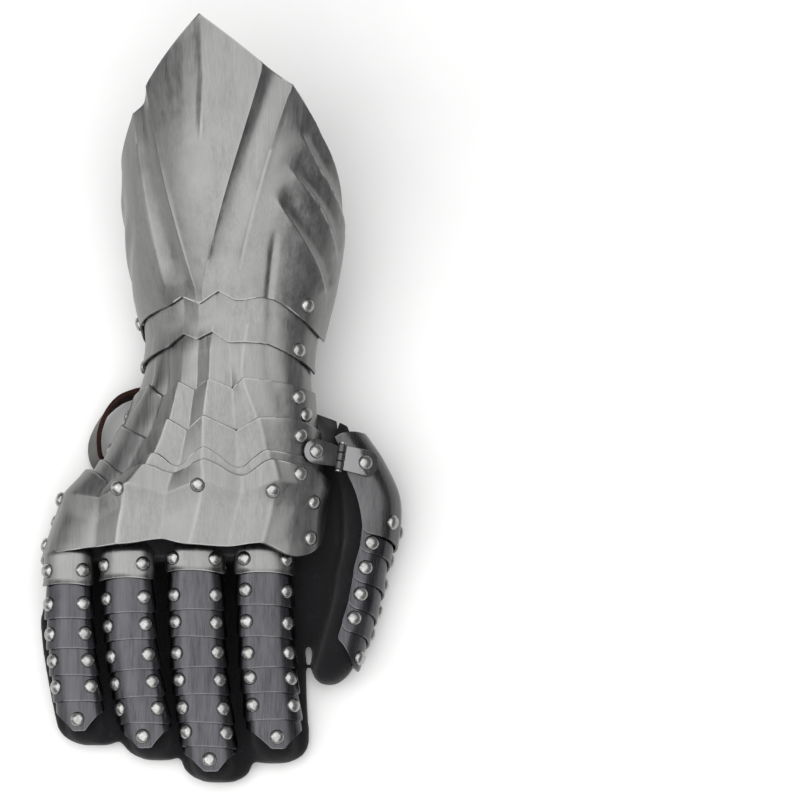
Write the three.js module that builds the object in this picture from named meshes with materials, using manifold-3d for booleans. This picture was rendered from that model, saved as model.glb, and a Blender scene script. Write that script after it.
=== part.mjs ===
// Armoured gauntlet for a right hand, lying palm down.
// Millimetres, +Z up. The fingers point to -Y, the point of the cuff to +Y, the thumb is at +X.
// The origin is under the palm, on the surface that the gauntlet lies on.
import * as THREE from "three";
import { mergeVertices } from "three/addons/utils/BufferGeometryUtils.js";
import Module from "manifold-3d";

const wasm = await Module();
wasm.setup();

// ---------------------------------------------------------------- driving dimensions
const PLATE = 1.2; // sheet steel of the cuff and the hand plates
const LAME = 1.0; // sheet steel of the finger and thumb lames
const LEATHER = 1.8; // glove leather
const STRAP = { width: 12.5, thickness: 2.4 };
const RIVET = { radius: 3.2, height: 2.1 }; // domed rivet heads
// Pivots of the wrist: the reach is from the outer face of the upper plate to the washer
const PIVOT = {
  shank: 1.7, washer: 3.2, washerThickness: 0.9, clearance: 0.35, cuffReach: 4.6, lameReach: 3.8,
};
const CUFF_LIFT = 3.8; // outer face of each wrist plate above the bare wrist form
const WRIST_LAME_LIFT = 1.9;
const KNUCKLE_LIFT = 3.9;
const SHINGLE = 2.1; // rise of a finger lame from its hidden edge to its free edge
const FIRST_LIFT = 1.4; // the same at the hidden edge of a finger's short first lame
const OVERLAP = 7; // length of a finger lame hidden under the one before it
const GLOVE = { lift: -3.2, frontLift: -7.5, front: -30, wrist: 56 };
const ROOT_GAP = 0.4; // seam gap between the hand of the glove and its finger stalls

// The form of the forearm and hand, finger roots to elbow:
// [y, centre x, centre z, half width, half height, roll in degrees, squareness]
const ARM = [
  [-40, -9, 15.5, 62.5, 23.5, -8, 2.5],
  [-27, -6.5, 17, 61.8, 25.5, -8, 2.5],
  [-5, -1.5, 20, 58.3, 27.3, -8, 2.4],
  [7, 3, 23, 53.5, 26.8, -9, 2.3],
  [19, 6.5, 26, 49.5, 26.5, -11, 2.2],
  [29, 8.5, 28.5, 46.5, 26.5, -13, 2.1],
  [46, 11.3, 30.5, 43, 27.5, -17, 2],
  [62, 13.5, 31.5, 41, 29, -19, 2],
  [74, 15, 32.5, 42, 30, -19, 2],
  [92, 15.3, 35.5, 46.2, 34.2, -19, 2],
  [112, 15.5, 38.5, 49.2, 39.2, -19, 2],
  [132, 15.5, 41, 51.2, 43.2, -19, 2],
  [165, 15.5, 44, 53.2, 47.2, -19, 2],
  [214, 15.5, 46, 55.2, 51.2, -19, 2],
];

// Flute lines over the back of the hand: [y, then the angle from the top, in degrees, of the left
// edge, ridge, valley, ridge, valley, ridge, valley, ridge, side crease and right edge]
const HAND_LINES = [
  [-36, -95, -77, -58, -44, -15, 14, 44.5, 58, 72, 84],
  [-5, -97, -77, -58, -43, -16, 14, 41.5, 57, 72, 90],
  [10, -97, -76, -54, -38, -17.5, 5.5, 36, 52.5, 70, 92],
  [28, -97, -72, -48, -31, -15, 1, 29.5, 45, 65, 92],
  [45, -98, -56, -41, -25, -10.5, 4, 25.5, 34, 56, 90],
  [62, -106, -56, -39, -24.5, -10, 3.5, 20.5, 33, 51, 92],
  [90, -108, -60, -35, -21, -7, 7, 20.5, 33, 46, 92],
];
const RIDGE = 1.2; // height of the flutes at the knuckles
const SPRING = 4.8; // how far the little-finger side of the knuckle plate springs outwards

// Height along y of the edges of the hand plates, one value for each flute line
const HAND_PLATES = [
  {
    name: "wrist_lame",
    low: [56, 61, 63, 68, 64.5, 67.5, 62, 62, 61.5, 51],
    high: [84, 88, 90, 90, 90, 90, 90, 90, 90, 82],
    lift: [[50, WRIST_LAME_LIFT], [76, WRIST_LAME_LIFT], [92, 0.6]],
  },
  {
    name: "hand_lame_1",
    low: [33, 33, 31, 32, 31, 32, 31, 32, 33, 33],
    high: [72, 75, 76, 76, 76, 76, 76, 76, 74, 68],
    lift: [[30, -0.9], [45, 0], [60, 0], [76, -0.6]],
  },
  {
    name: "hand_lame_2",
    low: [16, 15, 12, 14, 13, 14, 12, 14, 16, 16],
    high: [41, 46.5, 39.5, 45.5, 41, 45.5, 41, 45.5, 44.5, 42],
    lift: [[14, 0.1], [42, 1.7]],
  },
  {
    name: "hand_lame_3",
    low: [-1, -2, -3, -2, -3, -2, -3, -2, -1, -1],
    high: [25, 28.5, 20.5, 28, 22.5, 28.5, 21.5, 27, 28, 23.5],
    lift: [[-2, 0.7], [26, 2.5]],
  },
  {
    name: "hand_lame_4",
    low: [-8, -8, -9, -8, -9, -8, -9, -8, -8, -8],
    high: [7.5, 13, 4.5, 12.5, 6, 14, 4.5, 12.5, 11, 8.5],
    lift: [[-8, 1.8], [11, 3.1]],
  },
  {
    name: "knuckle_plate",
    low: [-33, -31.5, -30, -29.5, -27.5, -30.5, -31.5, -30, -35.5, -31],
    high: [6, 8.5, 0.5, 7, 2.5, 8, 0.5, 8, 6, 1],
    lift: [[-36, KNUCKLE_LIFT], [-10, KNUCKLE_LIFT], [-3, 5.2], [8, 4.6]],
  },
];

// Rivets on the hand plates: [angle in degrees, y]
const HAND_RIVETS = {
  hand_lame_2: [[73, 38], [78, 30.5], [-89, 36], [-89, 29]],
  hand_lame_3: [[71, 20], [-89, 20]],
  knuckle_plate: [
    [-84, -4], [-47, -4], [10, -4], [56, -6.5], [76, -10], [77, -26.5], [67, 2.2],
    [-92, -13], [-91, -26],
  ],
};

// Lines of the cuff: [y, angle of the line in degrees], from the left edge to the right edge,
// with the V of flutes between lines 3 and 9
const CUFF = {
  bottom: 87, // where the V starts
  low: [69, 68.5, 78, 81, 84, 80.5, 80, 80.5, 85, 80.5, 81.5, 73, 68, 69],
  high: [98, 118, 149, 171, 175, 181.5, 212, 188, 182, 178.5, 167, 150, 134, 112],
  trough: 2,
  pivotY: 80,
};
const CUFF_PIVOT_ANGLES = [-83, 71];
const LAME_PIVOT_ANGLES = [-87, 73];
const LAME_PIVOT_Y = 60;

// Fingers: centre x at the root, middle and tip, height of the top and half width at the root and
// the tip, roll, y of the free edge of each lame, of the tip plate and of the glove
const FINGERS = [
  {
    name: "little",
    x: [-62.2, -59.8, -54.8], top: [27.5, 17], half: [10.8, 11.4], roll: -13,
    edges: [-47, -62.5, -76.5, -89, -101], plateEnd: -114.5, gloveEnd: -120,
  },
  {
    name: "ring",
    x: [-34, -30.6, -23.8], top: [33.5, 17.5], half: [12, 12.2], roll: -14,
    edges: [-45, -60.5, -73, -87, -99.5, -111.5], plateEnd: -122.5, gloveEnd: -127,
  },
  {
    name: "middle",
    x: [-2.2, 0, 5.6], top: [36.5, 17.5], half: [12.8, 12.4], roll: -3,
    edges: [-42, -59.5, -72, -86, -98.5, -111.5, -122.5], plateEnd: -133.5, gloveEnd: -137.5,
  },
  {
    name: "index",
    x: [29.4, 31.2, 36], top: [37, 17.5], half: [13, 12.6], roll: 8,
    edges: [-43, -57.5, -72, -86, -97.5, -110], plateEnd: -123, gloveEnd: -128.5,
  },
];
const FINGER_ROOT = -30;
const STALL_LIFT = -2.4; // leather under the lames

// The thumb: [y, centre x, centre z, half width, half height, roll in degrees, squareness]
const THUMB = [
  [-90, 60.5, 11, 11, 11, 60, 2],
  [-78, 64.5, 11.8, 11.4, 11.4, 61, 2],
  [-63, 69, 12.8, 11.8, 11.8, 62, 2],
  [-52, 72, 13.4, 12, 12, 62, 2],
  [-38, 74.5, 14.4, 12.3, 12.3, 62, 2],
  [-24, 78, 16, 12.8, 12.8, 61, 2],
  [-4, 78, 18.5, 14, 14, 60, 2],
  [14, 71.5, 22, 13, 13, 58, 2],
  [26, 65, 24, 11.5, 11.5, 56, 2],
];
const THUMB_EDGES = [-26, -35, -48.5, -61, -71.5];
const THUMB_END = { plate: -85.5, glove: -93, root: 23.5, stallRoot: 14 };
const THUMB_SPREAD = 70;
const THUMB_RIVET_ANGLE = 48;
const THUMB_SKEW = 3.8; // how much lower a thumb lame is at each side than in its middle, to +X
// Angle of the left edge of the thumb plate along y
const THUMB_PLATE_LEFT = [[-24, 68], [3, 82], [23, 72]];

// The hinge of the thumb: middle of its pin, and how far each leaf reaches along X and drops
const HINGE = {
  x: 66, y: 11.5, z: 42.6,
  width: 12, leaf: 1.3, radius: 2.3, pin: 1, pinHead: 1.7, knuckle: 4, slack: 0.2, turn: -9,
  handLeaf: { reach: -18.4, drop: -7.6 },
  thumbLeaf: { reach: 18.5, drop: 7 },
};

const STEEL = { color: 0xb4b4b2, roughness: 0.34, metalness: 1 };
const DARK_STEEL = { color: 0x84838a, roughness: 0.28, metalness: 1 };
const SUEDE = { color: 0x141416, roughness: 0.95, metalness: 0 };
const STRAP_LEATHER = { color: 0x4a4a46, roughness: 0.7, metalness: 0 };

// ---------------------------------------------------------------- small tools
const gauntlet = new THREE.Group();
const toRadians = THREE.MathUtils.degToRad;

function add(name, geometry, finish) {
  const mesh = new THREE.Mesh(geometry, new THREE.MeshStandardMaterial(finish));
  mesh.name = name;
  gauntlet.add(mesh);
}

// Column c of a table of rows that start with their y, smooth through the rows
function smoothColumn(rows, y, c) {
  const last = rows.length - 1;
  let k = 0;
  while (k < last - 1 && y > rows[k + 1][0]) k += 1;
  const slope = (i) => {
    const before = rows[Math.max(i - 1, 0)];
    const after = rows[Math.min(i + 1, last)];
    return (after[c] - before[c]) / (after[0] - before[0]);
  };
  const span = rows[k + 1][0] - rows[k][0];
  const u = THREE.MathUtils.clamp((y - rows[k][0]) / span, 0, 1);
  const a = rows[k][c];
  const b = rows[k + 1][c];
  const ease = u * u * (3 - 2 * u);
  return a + (b - a) * ease + span * u * (1 - u) * ((1 - u) * slope(k) - u * slope(k + 1));
}

// Straight-line interpolation in a list of [position, value]
function linear(pairs, at) {
  let k = 0;
  while (k < pairs.length - 2 && at > pairs[k + 1][0]) k += 1;
  const [p, a] = pairs[k];
  const [q, b] = pairs[k + 1];
  return THREE.MathUtils.lerp(a, b, THREE.MathUtils.clamp((at - p) / (q - p), 0, 1));
}

// Value at a fractional place in a list
function inList(list, s) {
  const k = Math.min(Math.floor(s), list.length - 2);
  return THREE.MathUtils.lerp(list[k], list[k + 1], s - k);
}

// A point on a form: a tube whose superellipse section changes along y, seen at an angle from its
// top and lifted off its surface. A floor flattens what would reach below it.
function onForm(rows, angle, y, lift, floor = -Infinity) {
  const [cx, cz, a, b, roll, square] = [1, 2, 3, 4, 5, 6].map((c) => smoothColumn(rows, y, c));
  const s = Math.sin(toRadians(angle));
  const c = Math.cos(toRadians(angle));
  const across = Math.abs(s) / (a + lift);
  const up = Math.abs(c) / (b + lift);
  const reach = (across ** square + up ** square) ** (-1 / square);
  const tilt = toRadians(roll);
  const x = reach * s;
  const z = reach * c;
  return new THREE.Vector3(
    cx + x * Math.cos(tilt) + z * Math.sin(tilt),
    y,
    Math.max(cz - x * Math.sin(tilt) + z * Math.cos(tilt), floor),
  );
}

// Steps between whole numbers 0..count, each interval cut in `cuts`
const steps = (count, cuts) => Array.from({ length: count * cuts + 1 }, (_, i) => i / cuts);

// Closed geometry from quads and triangles given as lists of points
function closedGeometry(faces) {
  const flat = faces.flatMap(([a, b, c, d]) => (d ? [a, b, c, a, c, d] : [a, b, c]));
  const geometry = new THREE.BufferGeometry();
  geometry.setFromPoints(flat);
  return mergeVertices(geometry, 1e-4);
}

// A bent sheet: outer(u, v) over inner(u, v), where u runs to +X and v to +Y
function sheet(outer, inner, us, vs) {
  const top = vs.map((v) => us.map((u) => outer(u, v)));
  const under = vs.map((v) => us.map((u) => inner(u, v)));
  const faces = [];
  const m = us.length - 1;
  const n = vs.length - 1;
  for (let j = 0; j < n; j += 1) {
    for (let i = 0; i < m; i += 1) {
      faces.push([top[j][i], top[j][i + 1], top[j + 1][i + 1], top[j + 1][i]]);
      faces.push([under[j][i], under[j + 1][i], under[j + 1][i + 1], under[j][i + 1]]);
    }
    faces.push([top[j][0], top[j + 1][0], under[j + 1][0], under[j][0]]);
    faces.push([top[j][m], under[j][m], under[j + 1][m], top[j + 1][m]]);
  }
  for (let i = 0; i < m; i += 1) {
    faces.push([top[0][i], under[0][i], under[0][i + 1], top[0][i + 1]]);
    faces.push([top[n][i], top[n][i + 1], under[n][i + 1], under[n][i]]);
  }
  return closedGeometry(faces);
}

// A sleeve of leather: rings of points from -Y to +Y, open at +Y, and open or closed at -Y
function sleeve(outer, inner, count, vs, closed) {
  const ring = (f, v) => Array.from({ length: count }, (_, i) => f((360 * i) / count, v));
  const out = vs.map((v) => ring(outer, v));
  const into = vs.map((v) => ring(inner, v));
  const middle = (points) =>
    points.reduce((sum, p) => sum.add(p), new THREE.Vector3()).divideScalar(points.length);
  const faces = [];
  const n = vs.length - 1;
  for (let i = 0; i < count; i += 1) {
    const k = (i + 1) % count;
    for (let j = 0; j < n; j += 1) {
      faces.push([out[j][i], out[j][k], out[j + 1][k], out[j + 1][i]]);
      faces.push([into[j][i], into[j + 1][i], into[j + 1][k], into[j][k]]);
    }
    faces.push([out[n][i], out[n][k], into[n][k], into[n][i]]);
    if (closed) {
      faces.push([out[0][k], out[0][i], middle(out[0])]);
      faces.push([into[0][i], into[0][k], middle(into[0])]);
    } else {
      faces.push([out[0][k], out[0][i], into[0][i], into[0][k]]);
    }
  }
  return closedGeometry(faces);
}

function toSolid(geometry) {
  const bare = geometry.clone();
  bare.deleteAttribute("normal");
  bare.deleteAttribute("uv");
  const merged = mergeVertices(bare, 1e-4);
  return new wasm.Manifold(
    new wasm.Mesh({
      numProp: 3,
      vertProperties: merged.attributes.position.array,
      triVerts: new Uint32Array(merged.index.array),
    }),
  );
}

function toGeometry(solid) {
  const mesh = solid.getMesh();
  const geometry = new THREE.BufferGeometry();
  geometry.setAttribute("position", new THREE.BufferAttribute(mesh.vertProperties, 3));
  geometry.setIndex(new THREE.BufferAttribute(mesh.triVerts, 1));
  return geometry;
}

// A turned piece on the outward normal of a surface, given as a function of angle and y
function onNormal(geometry, surface, angle, y) {
  const at = surface(angle, y);
  const aside = surface(angle + 1, y).sub(surface(angle - 1, y));
  const along = surface(angle, y + 0.5).sub(surface(angle, y - 0.5));
  const normal = aside.cross(along).normalize();
  const turn = new THREE.Quaternion().setFromUnitVectors(new THREE.Vector3(0, 1, 0), normal);
  return geometry.clone().applyQuaternion(turn).translate(at.x, at.y, at.z);
}

// A turned solid about its own Y axis from a profile of [radius, height]
const turned = (profile, sides) =>
  new THREE.LatheGeometry(profile.map(([r, h]) => new THREE.Vector2(r, h)), sides);

const rivetHead = turned(
  [[0, -0.9], [RIVET.radius, -0.9], [RIVET.radius, 0.5], [0, RIVET.height]],
  6,
);

function withRivets(geometry, surface, places, head = rivetHead) {
  const solid = places.reduce(
    (sum, [angle, y]) => sum.add(toSolid(onNormal(head, surface, angle, y))),
    toSolid(geometry),
  );
  return toGeometry(solid);
}

// ---------------------------------------------------------------- hand plates
const lineCount = HAND_LINES[0].length - 2;

// Angle of the flute line at a fractional place s, at y
function handAngle(s, y) {
  const angles = HAND_LINES[0].slice(1).map((_, i) => smoothColumn(HAND_LINES, y, i + 1));
  return inList(angles, s);
}

// The fractional place of an angle among the flute lines at y
function flutePlace(angle, y) {
  const angles = HAND_LINES[0].slice(1).map((_, i) => smoothColumn(HAND_LINES, y, i + 1));
  let k = 0;
  while (k < lineCount - 1 && angle > angles[k + 1]) k += 1;
  return k + (angle - angles[k]) / (angles[k + 1] - angles[k]);
}

// Flutes: ridges on the odd lines up to the index ridge, deepest at the knuckles
function handRelief(s, y) {
  if (s < 1 || s > 7) return 0;
  const ridge = 1 - 2 * Math.abs(((s + 1) % 2) - 1);
  const depth = linear([[40, RIDGE], [62, 0], [80, -0.6]], y);
  return -ridge * depth * Math.min(1, s - 0.5, 7.5 - s);
}

// Outer face of a hand plate over the form, at the place s among the flute lines
function handLift(plate, s, y) {
  const spring = plate.name === "knuckle_plate" ? SPRING * Math.max(0, 1 - s / 1.6) : 0;
  return linear(plate.lift, y) + handRelief(s, y) + spring;
}

function handPoint(plate, s, v, drop) {
  const y = THREE.MathUtils.lerp(inList(plate.low, s), inList(plate.high, s), v);
  return onForm(ARM, handAngle(s, y), y, handLift(plate, s, y) - drop);
}

function pivotRivet(reach) {
  const { shank, washer, washerThickness } = PIVOT;
  return turned(
    [
      [0, -reach - washerThickness], [washer, -reach - washerThickness], [washer, -reach],
      [shank, -reach], [shank, -0.4], [RIVET.radius, -0.4], [RIVET.radius, 0.5],
      [0, RIVET.height],
    ],
    8,
  );
}

const pivotHole = turned(
  [[0, -7], [PIVOT.shank + PIVOT.clearance, -7], [PIVOT.shank + PIVOT.clearance, 7], [0, 7]],
  8,
);
const pivots = (angles, y) => angles.map((angle) => [angle, y]);

// Columns of a hand plate: the two side panels are wide, so they are cut finer
const handColumns = [
  ...steps(1, 4),
  ...steps(lineCount - 2, 2).slice(1).map((s) => s + 1),
  ...steps(1, 3).slice(1).map((s) => s + lineCount - 1),
];

function addHandPlates() {
  HAND_PLATES.forEach((plate) => {
    const rows = plate.name === "knuckle_plate" ? steps(1, 6) : steps(1, 3);
    let geometry = sheet(
      (s, v) => handPoint(plate, s, v, 0),
      (s, v) => handPoint(plate, s, v, PLATE),
      handColumns,
      rows,
    );
    const surface = (angle, y) => onForm(ARM, angle, y, handLift(plate, flutePlace(angle, y), y));
    geometry = withRivets(geometry, surface, HAND_RIVETS[plate.name] || []);
    if (plate.name === "wrist_lame") {
      const places = pivots(LAME_PIVOT_ANGLES, LAME_PIVOT_Y);
      geometry = withRivets(geometry, surface, places, pivotRivet(PIVOT.lameReach));
      geometry = pierced(geometry, cuffSurface, pivots(CUFF_PIVOT_ANGLES, CUFF.pivotY));
    }
    if (plate.name === "hand_lame_1") {
      const lameSurface = (angle, y) => onForm(ARM, angle, y, WRIST_LAME_LIFT);
      geometry = pierced(geometry, lameSurface, pivots(LAME_PIVOT_ANGLES, LAME_PIVOT_Y));
    }
    add(plate.name, geometry, STEEL);
  });
}

function pierced(geometry, surface, places) {
  const solid = places.reduce(
    (left, [angle, y]) => left.subtract(toSolid(onNormal(pivotHole, surface, angle, y))),
    toSolid(geometry),
  );
  return toGeometry(solid);
}

// ---------------------------------------------------------------- cuff
const cuffSurface = (angle, y) => onForm(ARM, angle, y, CUFF_LIFT);

// Angles of the 14 lines of the cuff at y, from its left edge to its right edge
function cuffAngles(y) {
  const centre = -6 + (9 * (y - 85)) / 125;
  const rise = THREE.MathUtils.clamp((y - CUFF.bottom) / 96, 0, 1);
  const inner = 2 + 29.5 * rise ** 0.8;
  const outer = 27 + 17 * rise ** 0.9;
  return [
    -118, -99, -75 + 10 * rise,
    centre - outer, centre - (outer + inner) / 2, centre - inner, centre,
    centre + inner, centre + (outer + inner) / 2, centre + outer,
    46 + 17 * rise, 72 + 6 * rise, 90, 106,
  ];
}

function cuffPoint(s, v, drop) {
  const y = THREE.MathUtils.lerp(inList(CUFF.low, s), inList(CUFF.high, s), v);
  const fold = Math.min(Math.abs(s - 4), Math.abs(s - 8));
  const relief = fold < 1 ? -CUFF.trough * Math.cos((fold * Math.PI) / 2) : 0;
  const grow = linear([[76, 0.2], [100, 1]], y);
  return onForm(ARM, inList(cuffAngles(y), s), y, CUFF_LIFT + relief * grow - drop);
}

function addCuff() {
  const bare = sheet(
    (s, v) => cuffPoint(s, v, 0),
    (s, v) => cuffPoint(s, v, PLATE),
    steps(CUFF.low.length - 1, 2),
    steps(1, 8),
  );
  const places = pivots(CUFF_PIVOT_ANGLES, CUFF.pivotY);
  add("cuff", withRivets(bare, cuffSurface, places, pivotRivet(PIVOT.cuffReach)), STEEL);
}

// ---------------------------------------------------------------- fingers
// Rows of a finger from tip to root, each given its place from 0 at the root to 1 at the tip
function alongFinger({ x, gloveEnd }, row) {
  return [1, 0.5, 0].map((place) => {
    const y = THREE.MathUtils.lerp(FINGER_ROOT, gloveEnd, place);
    return [y, x[place * 2], ...row(place)];
  });
}

const between = ([root, tip], place) => THREE.MathUtils.lerp(root, tip, place);

// The form that the lames of a finger lie on: a shallow arch
const ARCH = 0.8; // its half height as a part of its half width
function lameForm(finger) {
  return alongFinger(finger, (place) => {
    const half = between(finger.half, place);
    return [between(finger.top, place) - half * ARCH, half, half * ARCH, finger.roll, 2.5];
  });
}

// The form of the leather of a finger, from near the ground to under the lames
function stallForm(finger) {
  return alongFinger(finger, (place) => {
    const top = between(finger.top, place);
    return [top * 0.46, between(finger.half, place), top * 0.54, finger.roll / 2, 2.5];
  });
}

// A lame: a short arched plate, under the one before it at the root end and over the next one
// at its free end, with two round lower corners
const LAME_COLUMNS = [-1, -0.86, -0.55, -0.2, 0.2, 0.55, 0.86, 1];

function lameGeometry(form, hidden, free, spread, lift, rows) {
  const point = (u, v, drop) => {
    const side = Math.abs(u) ** 6;
    const y = THREE.MathUtils.lerp(free + 3 * side, hidden - 1.5 * side, v);
    return onForm(form, u * spread, y - skewOf(form) * u, lift(y) - drop);
  };
  return sheet((u, v) => point(u, v, 0), (u, v) => point(u, v, LAME), LAME_COLUMNS, steps(1, rows));
}

// Thumb lames lie askew, lower on the +X side
const skewOf = (form) => (form === THUMB ? THUMB_SKEW : 0);

// The end plate: five-sided, narrowing to a cut-off point
function tipGeometry(form, hidden, shoulder, end, spread, lift) {
  const aside = (u) => Math.sin(toRadians(Math.abs(u) * spread));
  const point = (u, v, drop) => {
    const low = linear([[aside(0.2), end], [aside(1), shoulder]], aside(u));
    const y = THREE.MathUtils.lerp(low, hidden, v);
    return onForm(form, u * spread, y - skewOf(form) * u, lift(y) - drop);
  };
  return sheet((u, v) => point(u, v, 0), (u, v) => point(u, v, LAME), LAME_COLUMNS, steps(1, 2));
}

// The lames of a finger or thumb: above is the y of the edge that the first one comes out under
function addLames(name, form, { edges, end, spread, rivetAngle, firstHidden, firstLift, above }) {
  const starts = [firstHidden, ...edges.map((y) => y + OVERLAP)];
  edges.forEach((free, i) => {
    const hidden = starts[i];
    const lift = (y) => linear([[free, SHINGLE], [hidden, i === 0 ? firstLift : 0]], y);
    const skew = (angle) => (skewOf(form) * angle) / spread;
    const surface = (angle, y) => onForm(form, angle, y, lift(y + skew(angle)));
    const at = Math.min(free + 7.4, (i === 0 ? above : edges[i - 1]) - RIVET.radius - 0.5);
    const places = [-rivetAngle, rivetAngle].map((angle) => [angle, at - skew(angle)]);
    const bare = lameGeometry(form, hidden, free, spread, lift, form === THUMB ? 3 : 1);
    add(`${name}_lame_${i + 1}`, withRivets(bare, surface, places), DARK_STEEL);
  });
  const hidden = starts[edges.length];
  const shoulder = end + 10;
  const lift = (y) => linear([[end, SHINGLE], [hidden, 0]], y);
  const surface = (angle, y) => onForm(form, angle, y, lift(y));
  const bare = tipGeometry(form, hidden, shoulder, end, spread, lift);
  add(`${name}_tip`, withRivets(bare, surface, [[0, end + 5.5]]), DARK_STEEL);
}

const FINGER_SPREAD = 74;
const FINGER_RIVET_ANGLE = 46;

function addFingers() {
  FINGERS.forEach((finger) => {
    const form = lameForm(finger);
    const firstHidden = FINGER_ROOT - 1.5;
    addLames(finger.name, form, {
      edges: finger.edges, end: finger.plateEnd, spread: FINGER_SPREAD,
      rivetAngle: FINGER_RIVET_ANGLE, firstHidden, firstLift: FIRST_LIFT, above: firstHidden,
    });
  });
}

// ---------------------------------------------------------------- thumb
function addThumb() {
  const [plateEdge, ...edges] = THUMB_EDGES;
  const top = THUMB_END.root + 2;
  const lift = (y) => linear([[plateEdge, 2.9], [top, 1.4]], y);
  const right = (y) => linear([[plateEdge, 84], [8, 84], [top, 60]], y);
  const point = (u, v, drop) => {
    const y = THREE.MathUtils.lerp(plateEdge, top - 3 * Math.abs(u) ** 3, v);
    const spread = u < 0 ? linear(THUMB_PLATE_LEFT, y) : right(y);
    return onForm(THUMB, u * spread, y - THUMB_SKEW * u * (1 - v), lift(y) - drop);
  };
  const across = steps(8, 1).map((i) => i / 4 - 1);
  const bare = sheet((u, v) => point(u, v, 0), (u, v) => point(u, v, PLATE), across, steps(1, 6));
  const surface = (angle, y) => onForm(THUMB, angle, y, lift(y));
  add("thumb_plate", withRivets(bare, surface, [[-13, -17], [50, -19]]), STEEL);
  addLames("thumb", THUMB, {
    edges, end: THUMB_END.plate, spread: THUMB_SPREAD, rivetAngle: THUMB_RIVET_ANGLE,
    firstHidden: plateEdge + OVERLAP, firstLift: 0, above: plateEdge,
  });
}

// ---------------------------------------------------------------- hinge
// A strap hinge: two leaves with round ends, whose knuckles share a pin that runs along Y. The knuckle
// of a leaf is cut away over the bands of y that belong to the other leaf.
function leafGeometry({ reach, drop }, bands) {
  const { x, y, z, radius, pin, leaf, width, slack, turn } = HINGE;
  const end = width / 2;
  const far = Math.abs(reach) - end;
  const bore = pin + 0.35;
  const outline = new THREE.Shape();
  outline.moveTo(radius * 0.8, -end);
  outline.lineTo(far, -end);
  outline.absarc(far, 0, end, -Math.PI / 2, Math.PI / 2, false);
  outline.lineTo(radius * 0.8, end);
  outline.closePath();
  const flat = new THREE.ExtrudeGeometry(outline, { depth: leaf, bevelEnabled: false, curveSegments: 8 });
  const barrel = [[bore, -end], [radius, -end], [radius, end], [bore, end], [bore, -end]];
  let solid = toSolid(flat.translate(0, 0, -leaf / 2)).add(toSolid(turned(barrel, 12)));
  const clear = radius + 0.5;
  bands.forEach(([low, high]) => {
    const cut = [[0, low - slack], [clear, low - slack], [clear, high + slack], [0, high + slack]];
    solid = solid.subtract(toSolid(turned(cut, 16)));
  });
  const head = rivetHead.clone().rotateX(Math.PI / 2).translate(far, 0, leaf / 2);
  const placed = toGeometry(solid.add(toSolid(head)));
  placed.rotateY(Math.atan2(drop, Math.abs(reach)));
  placed.rotateZ(toRadians(reach < 0 ? 180 + turn : turn));
  return placed.translate(x, y, z);
}

function addHinge() {
  const { x, y, z, width, knuckle, pin, pinHead, turn, handLeaf, thumbLeaf } = HINGE;
  const half = knuckle / 2;
  const beyond = width;
  add("hinge_leaf_hand", leafGeometry(handLeaf, [[-half, half]]), STEEL);
  add("hinge_leaf_thumb", leafGeometry(thumbLeaf, [[-beyond, -half], [half, beyond]]), STEEL);
  const neck = width / 2 + 0.35;
  const end = neck + 0.95;
  const shank = [[pinHead, -neck], [pin, -neck], [pin, neck], [pinHead, neck]];
  const profile = [[0, -end], [pinHead, -end], ...shank, [pinHead, end], [0, end]];
  add("hinge_pin", turned(profile, 10).rotateZ(toRadians(turn)).translate(x, y, z), STEEL);
}

// ---------------------------------------------------------------- glove
const gloveLift = (y) => linear([[GLOVE.front, GLOVE.frontLift], [-14, GLOVE.lift]], y);

function addGlove() {
  const { front, wrist } = GLOVE;
  const rings = [0, 0.2, 0.4, 0.6, 0.8, 1];
  const place = (v) => THREE.MathUtils.lerp(front, wrist, v);
  const outer = (angle, v) => onForm(ARM, angle, place(v), gloveLift(place(v)), 0);
  const inner = (angle, v) => onForm(ARM, angle, place(v), gloveLift(place(v)) - LEATHER, LEATHER);
  add("glove_hand", sleeve(outer, inner, 22, rings, false), SUEDE);
  FINGERS.forEach((finger) => {
    addStall(finger.name, stallForm(finger), finger.gloveEnd, FINGER_ROOT - ROOT_GAP);
  });
  addStall("thumb", THUMB, THUMB_END.glove, THUMB_END.stallRoot);
}

// A finger stall: a sleeve whose end rounds off over its last few millimetres
function addStall(name, form, end, root) {
  const nose = 9;
  const turns = [0, 0.35, 0.7].map((t) => (t * Math.PI) / 2);
  const ringsOf = (tip) => [
    ...turns.map((t) => [tip + nose * (1 - Math.cos(t)) + 0.3, Math.max(Math.sin(t), 0.16)]),
    [tip + nose, 1], [(tip + root) / 2, 1], [root, 1],
  ];
  const ring = (rings, v) => rings[Math.round(v * (rings.length - 1))];
  const leather = (thickness, tip) => (angle, v) => {
    const [y, size] = ring(ringsOf(tip), v);
    const centre = new THREE.Vector3(smoothColumn(form, y, 1), y, smoothColumn(form, y, 2));
    return onForm(form, angle, y, STALL_LIFT - thickness, thickness).lerp(centre, 1 - size);
  };
  const vs = steps(1, ringsOf(end).length - 1);
  add(`glove_${name}`, sleeve(leather(0, end), leather(LEATHER, end + LEATHER), 12, vs, true), SUEDE);
}

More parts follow.
